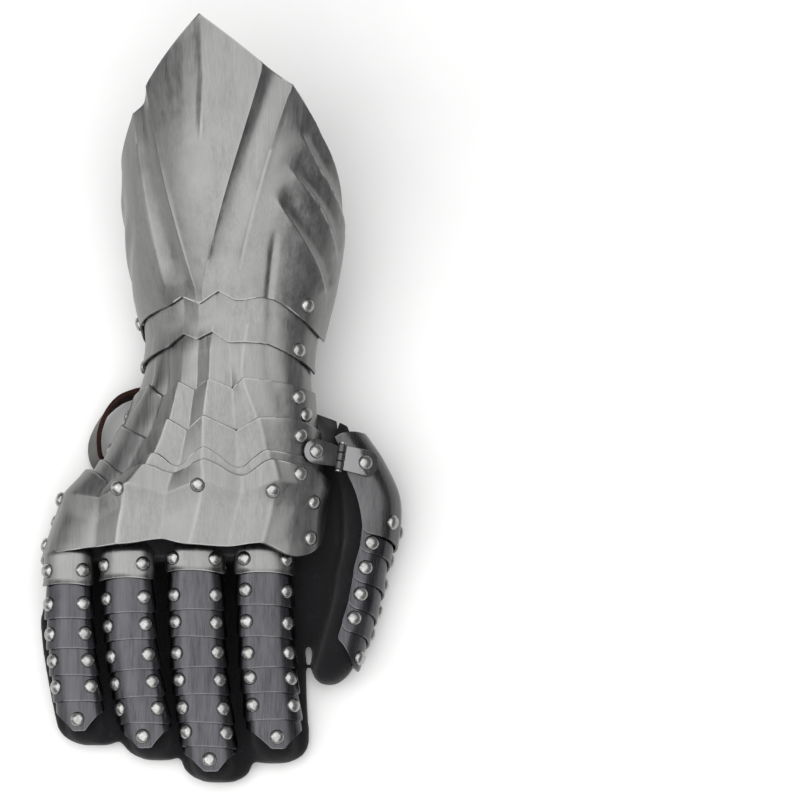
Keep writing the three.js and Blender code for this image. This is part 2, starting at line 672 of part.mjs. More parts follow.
// ---------------------------------------------------------------- strap
// Route of the strap: [x, y, z of its middle, and the x, y, z direction of its width]. It comes from
// under the little-finger edge of the plates, bulges out, turns back and runs under the wrist.
const STRAP_ROUTE = [
  [-28.5, 50.5, 7.6, 0, 0, 1],
  [-34, 49, 8.6, 0, 0, 1],
  [-41, 45.7, 9.5, 0.05, 0, 1],
  [-47, 39.2, 10, 0.2, 0, 1],
  [-51.2, 30.5, 9.8, 0.35, 0, 1],
  [-52.4, 22.5, 9.2, 0.5, 0, 1],
  [-50.5, 15.5, 8.4, 0.4, 0.2, 0.9],
  [-43.5, 13.5, 6.1, 0.2, 0.9, 0.4],
  [-33, 22, 3.4, 0, 1, 0],
  [-20, 32, 1.8, 0, 1, 0],
  [0, 36.5, 1.6, 0, 1, 0],
  [20, 37.5, 1.7, 0, 1, 0],
  [35, 38, 4, 0, 1, 0],
  [45, 38.5, 11, 0, 1, 0],
  [50, 39, 20, 0, 1, 0],
];

function addStrap() {
  const { width, thickness } = STRAP;
  const vectors = (from) => STRAP_ROUTE.map((row) => new THREE.Vector3(...row.slice(from, from + 3)));
  const route = new THREE.CatmullRomCurve3(vectors(0));
  const sides = new THREE.CatmullRomCurve3(vectors(3));
  const point = (u, v, offset) => {
    const tangent = route.getTangent(v);
    const side = sides.getPoint(v);
    side.addScaledVector(tangent, -side.dot(tangent)).normalize();
    const normal = new THREE.Vector3().crossVectors(tangent, side);
    return route.getPoint(v).addScaledVector(side, (u * width) / 2).addScaledVector(normal, offset);
  };
  const geometry = sheet(
    (u, v) => point(v, u, thickness / 2),
    (u, v) => point(v, u, -thickness / 2),
    steps(1, 30),
    [-1, 1],
  );
  add("strap", geometry, STRAP_LEATHER);
}

addCuff();
addHandPlates();
addFingers();
addThumb();
addHinge();
addGlove();
addStrap();

export default gauntlet;
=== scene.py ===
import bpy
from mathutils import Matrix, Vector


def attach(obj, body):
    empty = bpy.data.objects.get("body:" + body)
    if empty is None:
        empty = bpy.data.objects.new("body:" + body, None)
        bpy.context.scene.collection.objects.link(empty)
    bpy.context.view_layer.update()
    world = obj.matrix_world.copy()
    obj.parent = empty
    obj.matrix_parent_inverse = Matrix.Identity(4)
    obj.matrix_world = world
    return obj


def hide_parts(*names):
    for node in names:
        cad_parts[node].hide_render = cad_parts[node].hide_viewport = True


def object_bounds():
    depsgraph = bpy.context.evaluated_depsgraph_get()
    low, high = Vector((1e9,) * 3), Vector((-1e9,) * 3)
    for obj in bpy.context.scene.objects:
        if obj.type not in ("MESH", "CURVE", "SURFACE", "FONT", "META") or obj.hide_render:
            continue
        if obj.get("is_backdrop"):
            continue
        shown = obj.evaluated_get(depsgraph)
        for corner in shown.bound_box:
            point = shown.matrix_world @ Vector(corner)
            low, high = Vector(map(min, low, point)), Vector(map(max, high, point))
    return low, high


bl_info = {
    "name": "Armoured Gauntlet",
    "version": (1, 0, 0),
    "blender": (4, 5, 0),
    "location": "3D View > Sidebar > Gauntlet",
    "description": "Makes a fluted steel gauntlet with its lames, rivets, hinge, suede glove and strap",
    "category": "Object",
}

import math
import random

import bmesh
import bpy
from mathutils import Matrix, Vector

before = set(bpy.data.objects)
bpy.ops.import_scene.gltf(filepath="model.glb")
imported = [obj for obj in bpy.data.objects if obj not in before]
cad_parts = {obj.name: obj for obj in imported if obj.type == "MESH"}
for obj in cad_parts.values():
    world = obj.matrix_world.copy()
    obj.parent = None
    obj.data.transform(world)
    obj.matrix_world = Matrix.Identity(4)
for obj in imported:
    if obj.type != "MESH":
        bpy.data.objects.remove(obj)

MM = 0.001

# The form of the forearm and hand, in mm:
# [y, centre x, centre z, half width, half height, roll in degrees, squareness]
ARM = [
    [-40, -9, 15.5, 62.5, 23.5, -8, 2.5],
    [-27, -6.5, 17, 61.8, 25.5, -8, 2.5],
    [-5, -1.5, 20, 58.3, 27.3, -8, 2.4],
    [7, 3, 23, 53.5, 26.8, -9, 2.3],
    [19, 6.5, 26, 49.5, 26.5, -11, 2.2],
    [29, 8.5, 28.5, 46.5, 26.5, -13, 2.1],
    [46, 11.3, 30.5, 43, 27.5, -17, 2],
    [62, 13.5, 31.5, 41, 29, -19, 2],
    [74, 15, 32.5, 42, 30, -19, 2],
    [92, 15.3, 35.5, 46.2, 34.2, -19, 2],
    [112, 15.5, 38.5, 49.2, 39.2, -19, 2],
    [132, 15.5, 41, 51.2, 43.2, -19, 2],
    [165, 15.5, 44, 53.2, 47.2, -19, 2],
    [214, 15.5, 46, 55.2, 51.2, -19, 2],
]
# The thumb, with the same columns
THUMB = [
    [-90, 60.5, 11, 11, 11, 60, 2],
    [-78, 64.5, 11.8, 11.4, 11.4, 61, 2],
    [-63, 69, 12.8, 11.8, 11.8, 62, 2],
    [-52, 72, 13.4, 12, 12, 62, 2],
    [-38, 74.5, 14.4, 12.3, 12.3, 62, 2],
    [-24, 78, 16, 12.8, 12.8, 61, 2],
    [-4, 78, 18.5, 14, 14, 60, 2],
    [14, 71.5, 22, 13, 13, 58, 2],
    [26, 65, 24, 11.5, 11.5, 56, 2],
]

# Flute lines over the hand: [y, angle in degrees of each line, from the left edge to the right]
HAND_LINES = [
    [-36, -95, -77, -58, -44, -15, 14, 44.5, 58, 72, 84],
    [-5, -97, -77, -58, -43, -16, 14, 41.5, 57, 72, 90],
    [10, -97, -76, -54, -38, -17.5, 5.5, 36, 52.5, 70, 92],
    [28, -97, -72, -48, -31, -15, 1, 29.5, 45, 65, 92],
    [45, -98, -56, -41, -25, -10.5, 4, 25.5, 34, 56, 90],
    [62, -106, -56, -39, -24.5, -10, 3.5, 20.5, 33, 51, 92],
    [90, -108, -60, -35, -21, -7, 7, 20.5, 33, 46, 92],
]
LINE_COUNT = len(HAND_LINES[0]) - 2

# The hand plates: y of the lower and of the upper edge at the flute lines, [y, lift off the form],
# and whether the edges run in waves
HAND_PLATES = {
    "wrist_lame": ([56, 61, 63, 68, 64.5, 67.5, 62, 62, 61.5, 51],
                   [84, 88, 90, 90, 90, 90, 90, 90, 90, 82],
                   [[50, 1.9], [76, 1.9], [92, 0.6]], False),
    "hand_lame_1": ([33, 33, 31, 32, 31, 32, 31, 32, 33, 33],
                    [72, 75, 76, 76, 76, 76, 76, 76, 74, 68],
                    [[30, -0.9], [45, 0], [60, 0], [76, -0.6]], False),
    "hand_lame_2": ([16, 15, 12, 14, 13, 14, 12, 14, 16, 16],
                    [41, 46.5, 39.5, 45.5, 41, 45.5, 41, 45.5, 44.5, 42],
                    [[14, 0.1], [42, 1.7]], False),
    "hand_lame_3": ([-1, -2, -3, -2, -3, -2, -3, -2, -1, -1],
                    [25, 28.5, 20.5, 28, 22.5, 28.5, 21.5, 27, 28, 23.5],
                    [[-2, 0.7], [26, 2.5]], False),
    "hand_lame_4": ([-8, -8, -9, -8, -9, -8, -9, -8, -8, -8],
                    [7.5, 13, 4.5, 12.5, 6, 14, 4.5, 12.5, 11, 8.5],
                    [[-8, 1.8], [11, 3.1]], True),
    "knuckle_plate": ([-33, -31.5, -30, -29.5, -27.5, -30.5, -31.5, -30, -35.5, -31],
                      [6, 8.5, 0.5, 7, 2.5, 8, 0.5, 8, 6, 1],
                      [[-36, 4.3], [-30, 3.9], [-12, 4.0], [8, 4.4]], True),
}
# How far the knuckle plate springs outwards on the little-finger side, and its rounded corner
SPRING = 4.8
KNUCKLE_CORNER = 7.0
HAND_RIVETS = {
    "hand_lame_2": [(73, 38), (78, 30.5), (-89, 36), (-89, 29)],
    "hand_lame_3": [(71, 20), (-89, 20)],
    "knuckle_plate": [
        (-84, -4), (-47, -4), (10, -4), (56, -6.5), (76, -10), (77, -26.5), (67, 2.2),
        (-92, -13), (-87, -25),
    ],
}

# Lines of the cuff: height along y of its edges, with the V of flutes between lines 3 and 9
CUFF_LOW = [69, 68.5, 78, 81, 84, 80.5, 80, 80.5, 85, 80.5, 81.5, 73, 68, 69]
CUFF_HIGH = [98, 118, 149, 171, 175, 181.5, 211, 187.5, 183.6, 178.5, 167, 150, 134, 112]
CUFF_LIFT = 3.8
# Foot of the rib at the point of the cuff
RIB_FOOT = 151
CUFF_PIVOTS = [(-83, 80), (71, 80)]
LAME_PIVOTS = [(-87, 60), (73, 60)]
# How far the pivot rivets reach through the plate under them
CUFF_REACH = 4.6
LAME_REACH = 3.8

# Curved flutes on the thumb side of the cuff, [angle, y] along each crest, faint on the other side
SIDE_FLUTES = [
    [(41, 128), (52, 117), (64, 106), (75, 96), (83, 87)],
    [(48, 142), (58, 133), (68, 125), (79, 115), (88, 105)],
    [(53, 160), (61, 149), (68.5, 140), (82, 130), (95, 120)],
]

# Fingers: centre x at the root, middle and tip, height of the top and half width at the root and
# the tip, roll, y of the free edges, of the tip plate and of the leather
FINGERS = {
    "little": ((-62.2, -59.8, -52.9), (27.5, 17), (10.8, 11.4), -13,
               (-47, -62.5, -76.5, -89, -101), -114.5, -120),
    "ring": ((-34, -30.6, -21.6), (33.5, 17.5), (12, 12.2), -14,
             (-45, -60.5, -73, -87, -99.5, -111.5), -122.5, -127),
    "middle": ((-2.2, 0, 6.9), (36.5, 17.5), (12.8, 12.4), -3,
               (-42, -59.5, -72, -86, -98.5, -111.5, -122.5), -133.5, -137.5),
    "index": ((29.4, 31.2, 36), (37, 17.5), (13, 12.6), 8,
              (-43, -57.5, -72, -86, -97.5, -110), -123, -128.5),
}
# [y, reach to the left, to the right] of the flat leather under a finger
UNDERSIDES = {
    "little": [(-120, -0.8, 6.0), (-100, 0.6, 5.5), (-60, 1.3, 0), (-40, -3.5, 0)],
    "ring": [(-127, -1.0, 3.4), (-105, 0, 3.0), (-60, 0, 0)],
    "middle": [(-137, -0.6, 4.0), (-115, 0, 3.5), (-60, 0, 0)],
    "index": [(-128, 3.2, 0), (-112, 3.0, 1.8), (-50, 0, 2.0), (-30, 0, 2.0), (-20, 0, 0)],
}
ARCH = 0.8
FINGER_SPREAD = 74
FINGER_RIVET_ANGLE = 46
FINGER_ROOT = -30
THUMB_EDGES = (-26, -35, -48.5, -61, -71.5)
THUMB_PLATE_END = -85.5
THUMB_ROOT = 23.5
THUMB_SPREAD = 70
THUMB_RIVET_ANGLE = 48
THUMB_SKEW = 3.8
THUMB_PLATE_LEFT = [[-24, 68], [3, 82], [23, 72]]
# Lames: how far one runs under the next, the lift of a free edge, the lift of a first lame where
# its plate covers it, the radius of the corners, and the length of a tip plate's point
OVERLAP = 7
SHINGLE = 2.1
FIRST_LIFT = 1.4
LAME_CORNER = 4.6
TIP_LENGTH = 10

# The glove: the end of the thumb's stall, how far the stalls' leather lies inside the forms, y of
# the wrist opening, and the size of the cells that its tubes are fused with
THUMB_STALL_END = -91.5
FINGER_INSET = 2.4
THUMB_INSET = 2.6
GLOVE_OPENING = 55
GLOVE_VOXEL = 1.5

# The thumb's hinge: middle of its pin, then barrel radius, leaf thickness, half width and turn
HINGE_AT = Vector((66, 11.5, 42.6))
HINGE_RADIUS = 2.3
HINGE_LEAF = 1.3
HINGE_HALF = 6
HINGE_TURN = -9

STRAP_THICKNESS = 2.4
# Route of the strap: [x, y, z, then the direction of its width]
STRAP_ROUTE = [
    [-28.5, 50.5, 7.6, 0, 0, 1],
    [-34, 49, 8.6, 0, 0, 1],
    [-41, 45.7, 9.5, 0.05, 0, 1],
    [-47, 39.2, 10, 0.2, 0, 1],
    [-51.2, 30.5, 9.8, 0.35, 0, 1],
    [-52.4, 22.5, 9.2, 0.5, 0, 1],
    [-50.5, 15.5, 8.4, 0.4, 0.2, 0.9],
    [-43.5, 13.5, 6.1, 0.2, 0.9, 0.4],
    [-33, 22, 3.4, 0, 1, 0],
    [-20, 32, 1.8, 0, 1, 0],
    [0, 36.5, 1.6, 0, 1, 0],
    [20, 37.5, 1.7, 0, 1, 0],
    [35, 38, 4, 0, 1, 0],
    [45, 38.5, 11, 0, 1, 0],
    [50, 39, 20, 0, 1, 0],
]


# ---- colours and materials
def linear_colour(hex_code):
    """An sRGB hex value as linear red, green, blue and alpha."""
    channels = [int(hex_code[i:i + 2], 16) / 255 for i in (1, 3, 5)]
    return tuple(c / 12.92 if c <= 0.04045 else ((c + 0.055) / 1.055) ** 2.4
                 for c in channels) + (1.0,)


def add_node(tree, kind, inputs=None, **settings):
    """A node with its settings; an input is a value or another node's output."""
    made = tree.nodes.new(kind)
    for key, value in settings.items():
        setattr(made, key, value)
    for key, value in (inputs or {}).items():
        if isinstance(value, bpy.types.NodeSocket):
            tree.links.new(value, made.inputs[key])
        else:
            made.inputs[key].default_value = value
    return made


def blank_material(name, **even):
    """A new material's tree, places on its object, and its Principled shader with even values."""
    made = bpy.data.materials.new(name)
    made.use_nodes = True
    tree = made.node_tree
    tree.nodes.clear()
    shader = add_node(tree, "ShaderNodeBsdfPrincipled",
                      {key.replace("_", " "): value for key, value in even.items()})
    add_node(tree, "ShaderNodeOutputMaterial", {"Surface": shader.outputs["BSDF"]})
    return tree, add_node(tree, "ShaderNodeTexCoord").outputs["Object"], shader


def noise(tree, place, size, detail=2.0, roughness=0.5, along=None):
    """Noise with features of a size in mm, and of another size along the hand if it is given."""
    scale = 1 / (size * MM)
    if along:
        place = add_node(tree, "ShaderNodeMapping", {
            "Vector": place, "Scale": (scale, 1 / (along * MM), scale)}).outputs[0]
        scale = 1.0
    return add_node(tree, "ShaderNodeTexNoise", {
        "Vector": place, "Scale": scale, "Detail": detail, "Roughness": roughness}).outputs["Fac"]


def spread(tree, value, low, high, out_low=0.0, out_high=1.0):
    return add_node(tree, "ShaderNodeMapRange",
                    {"Value": value, "From Min": low, "From Max": high,
                     "To Min": out_low, "To Max": out_high}).outputs["Result"]


def maths(tree, operation, a, b):
    return add_node(tree, "ShaderNodeMath", {0: a, 1: b}, operation=operation).outputs[0]


def mix_colour(tree, factor, a, b):
    return add_node(tree, "ShaderNodeMix", {0: factor, 6: a, 7: b}, data_type="RGBA").outputs[2]


def blend(tree, value, low, high, dark, light):
    """The dark tone where the value is low, the light one where it is high."""
    return mix_colour(tree, spread(tree, value, low, high), linear_colour(dark), linear_colour(light))


def weigh(tree, a, share_a, b, share_b):
    return maths(tree, "ADD", maths(tree, "MULTIPLY", a, share_a), maths(tree, "MULTIPLY", b, share_b))


def bump(tree, height, strength, distance, under=None):
    """A bump with its distance in mm, on top of another one if it is given."""
    inputs = {"Height": height, "Strength": strength, "Distance": distance * MM}
    if under is not None:
        inputs["Normal"] = under
    return add_node(tree, "ShaderNodeBump", inputs).outputs[0]


def connect(tree, shader, colour, normal=None, rough=None):
    for key, value in (("Base Color", colour), ("Normal", normal), ("Roughness", rough)):
        if value is not None:
            tree.links.new(value, shader.inputs[key])


def brushed_sheet_steel(name, tones, roughness, dents):
    """Cold-rolled sheet steel, hammered to shape, then brushed along the hand with about 120
    grit: the eye gets fine lengthwise streaks and soft cloudy patches. Its edges and crease lines
    are polished a little smoother by handling and carry a painted highlight."""
    tree, place, shader = blank_material(name, Metallic=1.0)
    # Scratches 0.1 mm apart would vanish here, so they are drawn 0.7 mm wide and 22 mm long.
    fine = noise(tree, place, 0.7, 3.0, 0.6, along=22)
    broad = noise(tree, place, 3.5, along=40)
    cloud = noise(tree, place, 16, 3.0, 0.55)
    highlight_and_polish = add_node(tree, "ShaderNodeAttribute", attribute_name="highlight_and_polish").outputs["Fac"]

    dark, light, bright = tones
    streaks = weigh(tree, fine, 0.55, broad, 0.45)
    colour = blend(tree, weigh(tree, streaks, 0.92, cloud, 0.08), 0.36, 0.64, dark, light)
    # Painted highlight: where the mesh marks edges and crease lines, the colour is mixed towards the
    # highlight tone
    colour = mix_colour(tree, maths(tree, "MULTIPLY", highlight_and_polish, 0.75), colour, linear_colour(bright))

    rough = spread(tree, streaks, 0.35, 0.65, roughness - 0.07, roughness + 0.09)
    rough = maths(tree, "ADD", rough, spread(tree, cloud, 0.35, 0.65, -0.025, 0.025))
    # The same marks make the steel smoother there, as polish from handling
    rough = maths(tree, "SUBTRACT", rough, maths(tree, "MULTIPLY", highlight_and_polish, 0.12))

    hammered = bump(tree, noise(tree, place, 11, 1.0, 0.4), 1.0, dents)
    connect(tree, shader, colour, bump(tree, fine, 0.5, 0.03, hammered), rough)


def tumbled_rivet_steel(name):
    """Mild steel rivets, domed by a snap and tumbled: small bright heads with fine pits."""
    tree, place, shader = blank_material(name, Metallic=1.0)
    pits = noise(tree, place, 0.7, 3.0, 0.6)
    colour = blend(tree, noise(tree, place, 3), 0.35, 0.65, "#8A8A89", "#A8A8A6")
    connect(tree, shader, colour, bump(tree, pits, 0.5, 0.08), spread(tree, pits, 0.3, 0.7, 0.2, 0.36))


def black_split_suede(name):
    """Split cowhide, dyed black and buffed: a dull nap of short fibres that greys where rubbed."""
    tree, place, shader = blank_material(name, Roughness=0.95, Sheen_Weight=0.12,
                                         Sheen_Roughness=0.5, Specular_IOR_Level=0.25)
    # Nap fibres of about 0.1 mm, drawn as clumps of 0.6 mm
    nap = noise(tree, place, 0.6, 4.0, 0.7)
    rubbed = noise(tree, place, 9, 4.0, 0.6)
    scuff = maths(tree, "MULTIPLY", spread(tree, rubbed, 0.55, 0.72), spread(tree, nap, 0.45, 0.65))
    colour = mix_colour(tree, maths(tree, "MULTIPLY", scuff, 0.5),
                        blend(tree, nap, 0.35, 0.7, "#08080A", "#18181B"), linear_colour("#34343A"))
    folds = bump(tree, noise(tree, place, 5, 3.0), 0.6, 0.7)
    connect(tree, shader, colour, bump(tree, nap, 0.9, 0.25, folds))


def dressed_leather(name, dark, light, pore):
    """Vegetable-tanned leather with its grain side out: small pores under a wax finish rubbed thin."""
    tree, place, shader = blank_material(name, Specular_IOR_Level=0.4)
    cells = add_node(tree, "ShaderNodeTexVoronoi", {"Vector": place, "Scale": 1 / (pore * MM)},
                     feature="F1").outputs["Distance"]
    patch = noise(tree, place, 6, 4.0, 0.6)
    connect(tree, shader, blend(tree, patch, 0.35, 0.65, dark, light), bump(tree, cells, 0.4, 0.15),
            spread(tree, patch, 0.3, 0.7, 0.42, 0.6))


def raw_leather_edge(name):
    """The cut edge and flesh side of the strap: unpainted fibres, dark brown and matt."""
    tree, place, shader = blank_material(name, Roughness=0.92, Specular_IOR_Level=0.2)
    fibre = noise(tree, place, 0.8, 4.0, 0.65)
    connect(tree, shader, blend(tree, fibre, 0.35, 0.68, "#170D0B", "#3B231C"),
            bump(tree, fibre, 0.8, 0.3))


def pale_board(name):
    """The floor: smooth white-painted board."""
    tree, place, shader = blank_material(name, Roughness=0.85)
    connect(tree, shader, mix_colour(tree, noise(tree, place, 30), linear_colour("#F2F2F1"),
                                     linear_colour("#F6F6F5")))


# What makes each material, and with which values
MAKERS = {
    # Steel: dark and light tones, the painted highlight tone for edges and creases, roughness and dent
    # depth
    "satin_plate_steel": (brushed_sheet_steel, ("#737372", "#898988", "#B0B0AF"), 0.36, 0.3),
    "burnished_lame_steel": (brushed_sheet_steel, ("#3C3B3E", "#565558", "#8E8E90"), 0.27, 0.25),
    "dark_plate_steel": (brushed_sheet_steel, ("#434344", "#59595A", "#868687"), 0.3, 0.2),
    "tumbled_rivet_steel": (tumbled_rivet_steel,),
    "black_split_suede": (black_split_suede,),
    "dressed_gusset_leather": (dressed_leather, "#1B1B1C", "#303031", 0.9),
    "dressed_strap_leather": (dressed_leather, "#3E3E3A", "#565651", 0.8),
    "raw_leather_edge": (raw_leather_edge,),
    "pale_board": (pale_board,),
}


def material(name):
    """The named material, made the first time it is asked for."""
    if name not in bpy.data.materials:
        maker, *values = MAKERS[name]
        maker(name, *values)
    return bpy.data.materials[name]


# ---- forms
def setting(name):
    """A length from the panel, in mm."""
    return getattr(bpy.context.scene.gauntlet, name) / MM


def lerp(a, b, t):
    return a + (b - a) * t


def clamp(value, low=0.0, high=1.0):
    return min(max(value, low), high)


def smooth(t):
    return t * t * (3 - 2 * t)


def curve(a, b, c, d, u):
    """A smooth curve from b at 0 to c at 1, with a before them and d after."""
    return 0.5 * (2 * b + (c - a) * u + (2 * a - 5 * b + 4 * c - d) * u * u
                  + (3 * b - a - 3 * c + d) * u ** 3)


def rounded(radius, over):
    """How far a round corner has drawn in, over mm past its start."""
    return radius - math.sqrt(max(0.0, radius ** 2 - over ** 2)) if over > 0 else 0.0


def smooth_column(rows, y, c):
    """Column c of a table of rows that start with their y, smooth through the rows."""
    last = len(rows) - 1
    k = 0
    while k < last - 1 and y > rows[k + 1][0]:
        k += 1

    def slope(i):
        before, after = rows[max(i - 1, 0)], rows[min(i + 1, last)]
        return (after[c] - before[c]) / (after[0] - before[0])

    span = rows[k + 1][0] - rows[k][0]
    u = clamp((y - rows[k][0]) / span)
    a, b = rows[k][c], rows[k + 1][c]
    return a + (b - a) * smooth(u) + span * u * (1 - u) * ((1 - u) * slope(k) - u * slope(k + 1))


SECTIONS = {}


def section(rows, y):
    """The form's section at y, kept because many points share it."""
    key = (id(rows), round(y, 4))
    if key not in SECTIONS:
        SECTIONS[key] = [smooth_column(rows, y, c) for c in range(1, len(rows[0]))]
    return SECTIONS[key]


def oval_point(y, oval, turn, lift=0.0):
    """A point of a superellipse that leans: oval is its centre x and z, half width and height, roll
    and squareness, and the turn is clockwise from its top."""
    cx, cz, a, b, roll, square = oval
    s, c = math.sin(turn), math.cos(turn)
    reach = ((abs(s) / (a + lift)) ** square + (abs(c) / (b + lift)) ** square) ** (-1 / square)
    x, z, tilt = reach * s, reach * c, math.radians(roll)
    return Vector((cx + x * math.cos(tilt) + z * math.sin(tilt), y,
                   cz - x * math.sin(tilt) + z * math.cos(tilt)))


def on_form(rows, angle, y, lift):
    """A point on a tube whose section changes along y, lifted off its surface."""
    return oval_point(y, section(rows, y), math.radians(angle), lift)


def linear(pairs, at):
    """Straight between [place, value] pairs, and level past their ends."""
    k = 0
    while k < len(pairs) - 2 and at > pairs[k + 1][0]:
        k += 1
    (p, a), (q, b) = pairs[k], pairs[k + 1]
    return lerp(a, b, clamp((at - p) / (q - p)))


def in_list(values, s, soft=False):
    """Value at a fractional place: straight between entries, or eased so that peaks are round."""
    k = min(int(math.floor(s)), len(values) - 2)
    t = s - k
    if soft:
        t = lerp(t, smooth(t), 0.85)
    return lerp(values[k], values[k + 1], t)


def surface_frame(surface, angle, y):
    """The point and outward normal of a surface given as a function of angle and y."""
    at = surface(angle, y)
    aside = surface(angle + 1, y) - surface(angle - 1, y)
    along = surface(angle, y + 0.5) - surface(angle, y - 0.5)
    return at, aside.cross(along).normalized()


# ---- mesh work
def fine_steps(count, cuts):
    """Steps between whole numbers 0..count, with each interval cut in as many as cuts says."""
    out = [0.0]
    for k in range(count):
        out += [k + (i + 1) / cuts[k] for i in range(cuts[k])]
    return out


def rows_with_rim(length, step, rim=0.7):
    """Fractions 0..1 over a length in mm, with a narrow row along each cut edge."""
    n = max(2, round((length - 2 * rim) / step))
    return [0.0] + [(rim + (length - 2 * rim) * i / n) / length for i in range(n + 1)] + [1.0]


def sheet_mesh(point, thickness, us, vs, bevel=0.28, crease_highlight=None):
    """A bmesh of a bent sheet with rounded cut edges: point(u, v, drop) is its outside, or drop mm
    below it. Its vertices mark the cut edges and creases for a painted highlight and a smoother
    polish."""
    bm = bmesh.new()
    highlight_and_polish = bm.verts.layers.float.new("highlight_and_polish")

    def grid(drop):
        return [[bm.verts.new(point(u, v, drop) * MM) for u in us] for v in vs]

    top, under = grid(0), grid(thickness)
    m, n = len(us) - 1, len(vs) - 1
    for j in range(n):
        for i in range(m):
            bm.faces.new((top[j][i], top[j][i + 1], top[j + 1][i + 1], top[j + 1][i]))
            bm.faces.new((under[j][i], under[j + 1][i], under[j + 1][i + 1], under[j][i + 1]))
        bm.faces.new((top[j][0], top[j + 1][0], under[j + 1][0], under[j][0]))
        bm.faces.new((top[j][m], under[j][m], under[j + 1][m], top[j + 1][m]))
    for i in range(m):
        bm.faces.new((top[0][i], under[0][i], under[0][i + 1], top[0][i + 1]))
        bm.faces.new((top[n][i], top[n][i + 1], under[n][i + 1], under[n][i]))
    # Painted highlight along the creases that the caller gives
    if crease_highlight:
        for j, v in enumerate(vs):
            for i, u in enumerate(us):
                top[j][i][highlight_and_polish] = crease_highlight(u, v)
    rims = set()
    # Both rims get a painted highlight and a smoother polish, then are bevelled
    for g in (top, under):
        rim = ([g[0][i] for i in range(m + 1)] + [g[j][m] for j in range(1, n + 1)]
               + [g[n][i] for i in range(m - 1, -1, -1)] + [g[j][0] for j in range(n - 1, 0, -1)])
        for a, b in zip(rim, rim[1:] + rim[:1]):
            a[highlight_and_polish] = 0.45
            rims.add(bm.edges.get((a, b)))
    bmesh.ops.bevel(bm, geom=list(rims), offset=bevel * MM, segments=2, profile=0.5,
                    affect="EDGES", clamp_overlap=True)
    return bm


RIVET_PROFILE = [(1.0, -0.5), (1.02, 0.16), (0.99, 0.3), (0.9, 0.52), (0.74, 0.73), (0.52, 0.89),
                 (0.26, 0.975), (0.0, 1.0)]


def add_turned(bm, profile, at, axis, sides, slot):
    """Adds a turned closed solid to a bmesh: profile of (radius, height), both in mm."""
    turn = axis.to_track_quat("Z", "Y").to_matrix()
    rings = []
    for radius, height in profile:
        around = [2 * math.pi * i / sides for i in range(sides if radius else 1)]
        rings.append([bm.verts.new((at + turn @ Vector((radius * math.cos(t), radius * math.sin(t),
                                                        height))) * MM) for t in around])
    made = []
    for low, high in zip(rings, rings[1:]):
        for i in range(sides):
            k = (i + 1) % sides
            corners = [low[i % len(low)], low[k % len(low)], high[k % len(high)], high[i % len(high)]]
            corners = [c for j, c in enumerate(corners) if c not in corners[:j]]
            if len(corners) > 2:
                made.append(bm.faces.new(corners))
    for ring, flip in ((rings[0], True), (rings[-1], False)):
        if len(ring) > 1:
            made.append(bm.faces.new(ring[::-1] if flip else ring))
    for face in made:
        face.material_index = slot


def rivet_profile():
    radius, height = setting("rivet_radius"), setting("rivet_height")
    return [(radius * r, height * h) for r, h in RIVET_PROFILE]


def add_rivet(bm, surface, angle, y):
    """A domed head in the second material, standing on the surface. Gives its place and direction."""
    at, normal = surface_frame(surface, angle, y)
    add_turned(bm, rivet_profile(), at, normal, 24, 1)
    return at, normal


def add_pivot(bm, surface, angle, y, reach):
    """A pivot rivet: dome, shank through the plate beneath, and a washer inside."""
    at, normal = add_rivet(bm, surface, angle, y)
    add_turned(bm, [(1.7, -reach - 0.2), (1.7, 0)], at, normal, 16, 1)
    add_turned(bm, [(3.0, -reach - 0.9), (3.2, -reach - 0.7), (3.2, -reach - 0.1), (3.0, -reach)],
               at, normal, 20, 1)


def finish_piece(bm, name, body, materials, nodes, sharp=38):
    """Makes the object, smooths it between its sharp edges and hands it to the frame."""
    bmesh.ops.recalc_face_normals(bm, faces=bm.faces)
    for face in bm.faces:
        face.smooth = True
    mesh = bpy.data.meshes.new(name)
    bm.to_mesh(mesh)
    bm.free()
    mesh.set_sharp_from_angle(angle=math.radians(sharp))
    piece = bpy.data.objects.new(name, mesh)
    bpy.context.scene.collection.objects.link(piece)
    for each in materials:
        mesh.materials.append(material(each))
    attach(piece, body)
    if nodes:
        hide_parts(*nodes)
    return piece


PLATE_MATERIALS = ("satin_plate_steel", "tumbled_rivet_steel")
LAME_MATERIALS = ("burnished_lame_steel", "tumbled_rivet_steel")
DARK_MATERIALS = ("dark_plate_steel", "tumbled_rivet_steel")


# ---- hand plates
def hand_angles(y):
    """The flute lines' angles at y."""
    return section(HAND_LINES, y)


def flute_place(angle, y):
    """The fractional place of an angle among the flute lines at y."""
    angles = hand_angles(y)
    k = 0
    while k < LINE_COUNT - 1 and angle > angles[k + 1]:
        k += 1
    return k + (angle - angles[k]) / (angles[k + 1] - angles[k])


def ridge_wave(s):
    """1 on the odd flute lines, -1 on the even ones, straight between."""
    return 2 * abs(((s + 1) % 2) - 1) - 1


def hand_relief(s, y):
    """Flutes: ridges on the odd lines up to the index ridge, deepest at the knuckles."""
    if s < 1:
        return 0.0
    ridge = setting("flute_height")
    depth = linear([[40, ridge], [62, 0.25 * ridge], [80, -0.6]], y)
    fade = clamp(min(1.0, s - 0.5, 7.5 - s))
    side = -0.5 * max(0.0, 1 - abs(s - 8) / 0.35) * linear([[20, 0], [50, 1]], y)
    return ridge_wave(s) * depth * fade + side


def knuckle_lip(s, y):
    """The transverse fold of the knuckle plate, higher towards the wrist on the ridges."""
    crest = -4.5 + 3.0 * ridge_wave(s) if 1 <= s <= 7 else -2.5
    rise = clamp((y - crest + 11) / 11)
    fall = clamp((y - crest) / 12)
    return 1.9 * rise ** 1.6 - 1.7 * fall


def hand_lift(name, s, y):
    lip = knuckle_lip(s, y) + SPRING * max(0.0, 1 - s / 1.6) if name == "knuckle_plate" else 0.0
    return linear(HAND_PLATES[name][2], y) + hand_relief(s, y) + lip


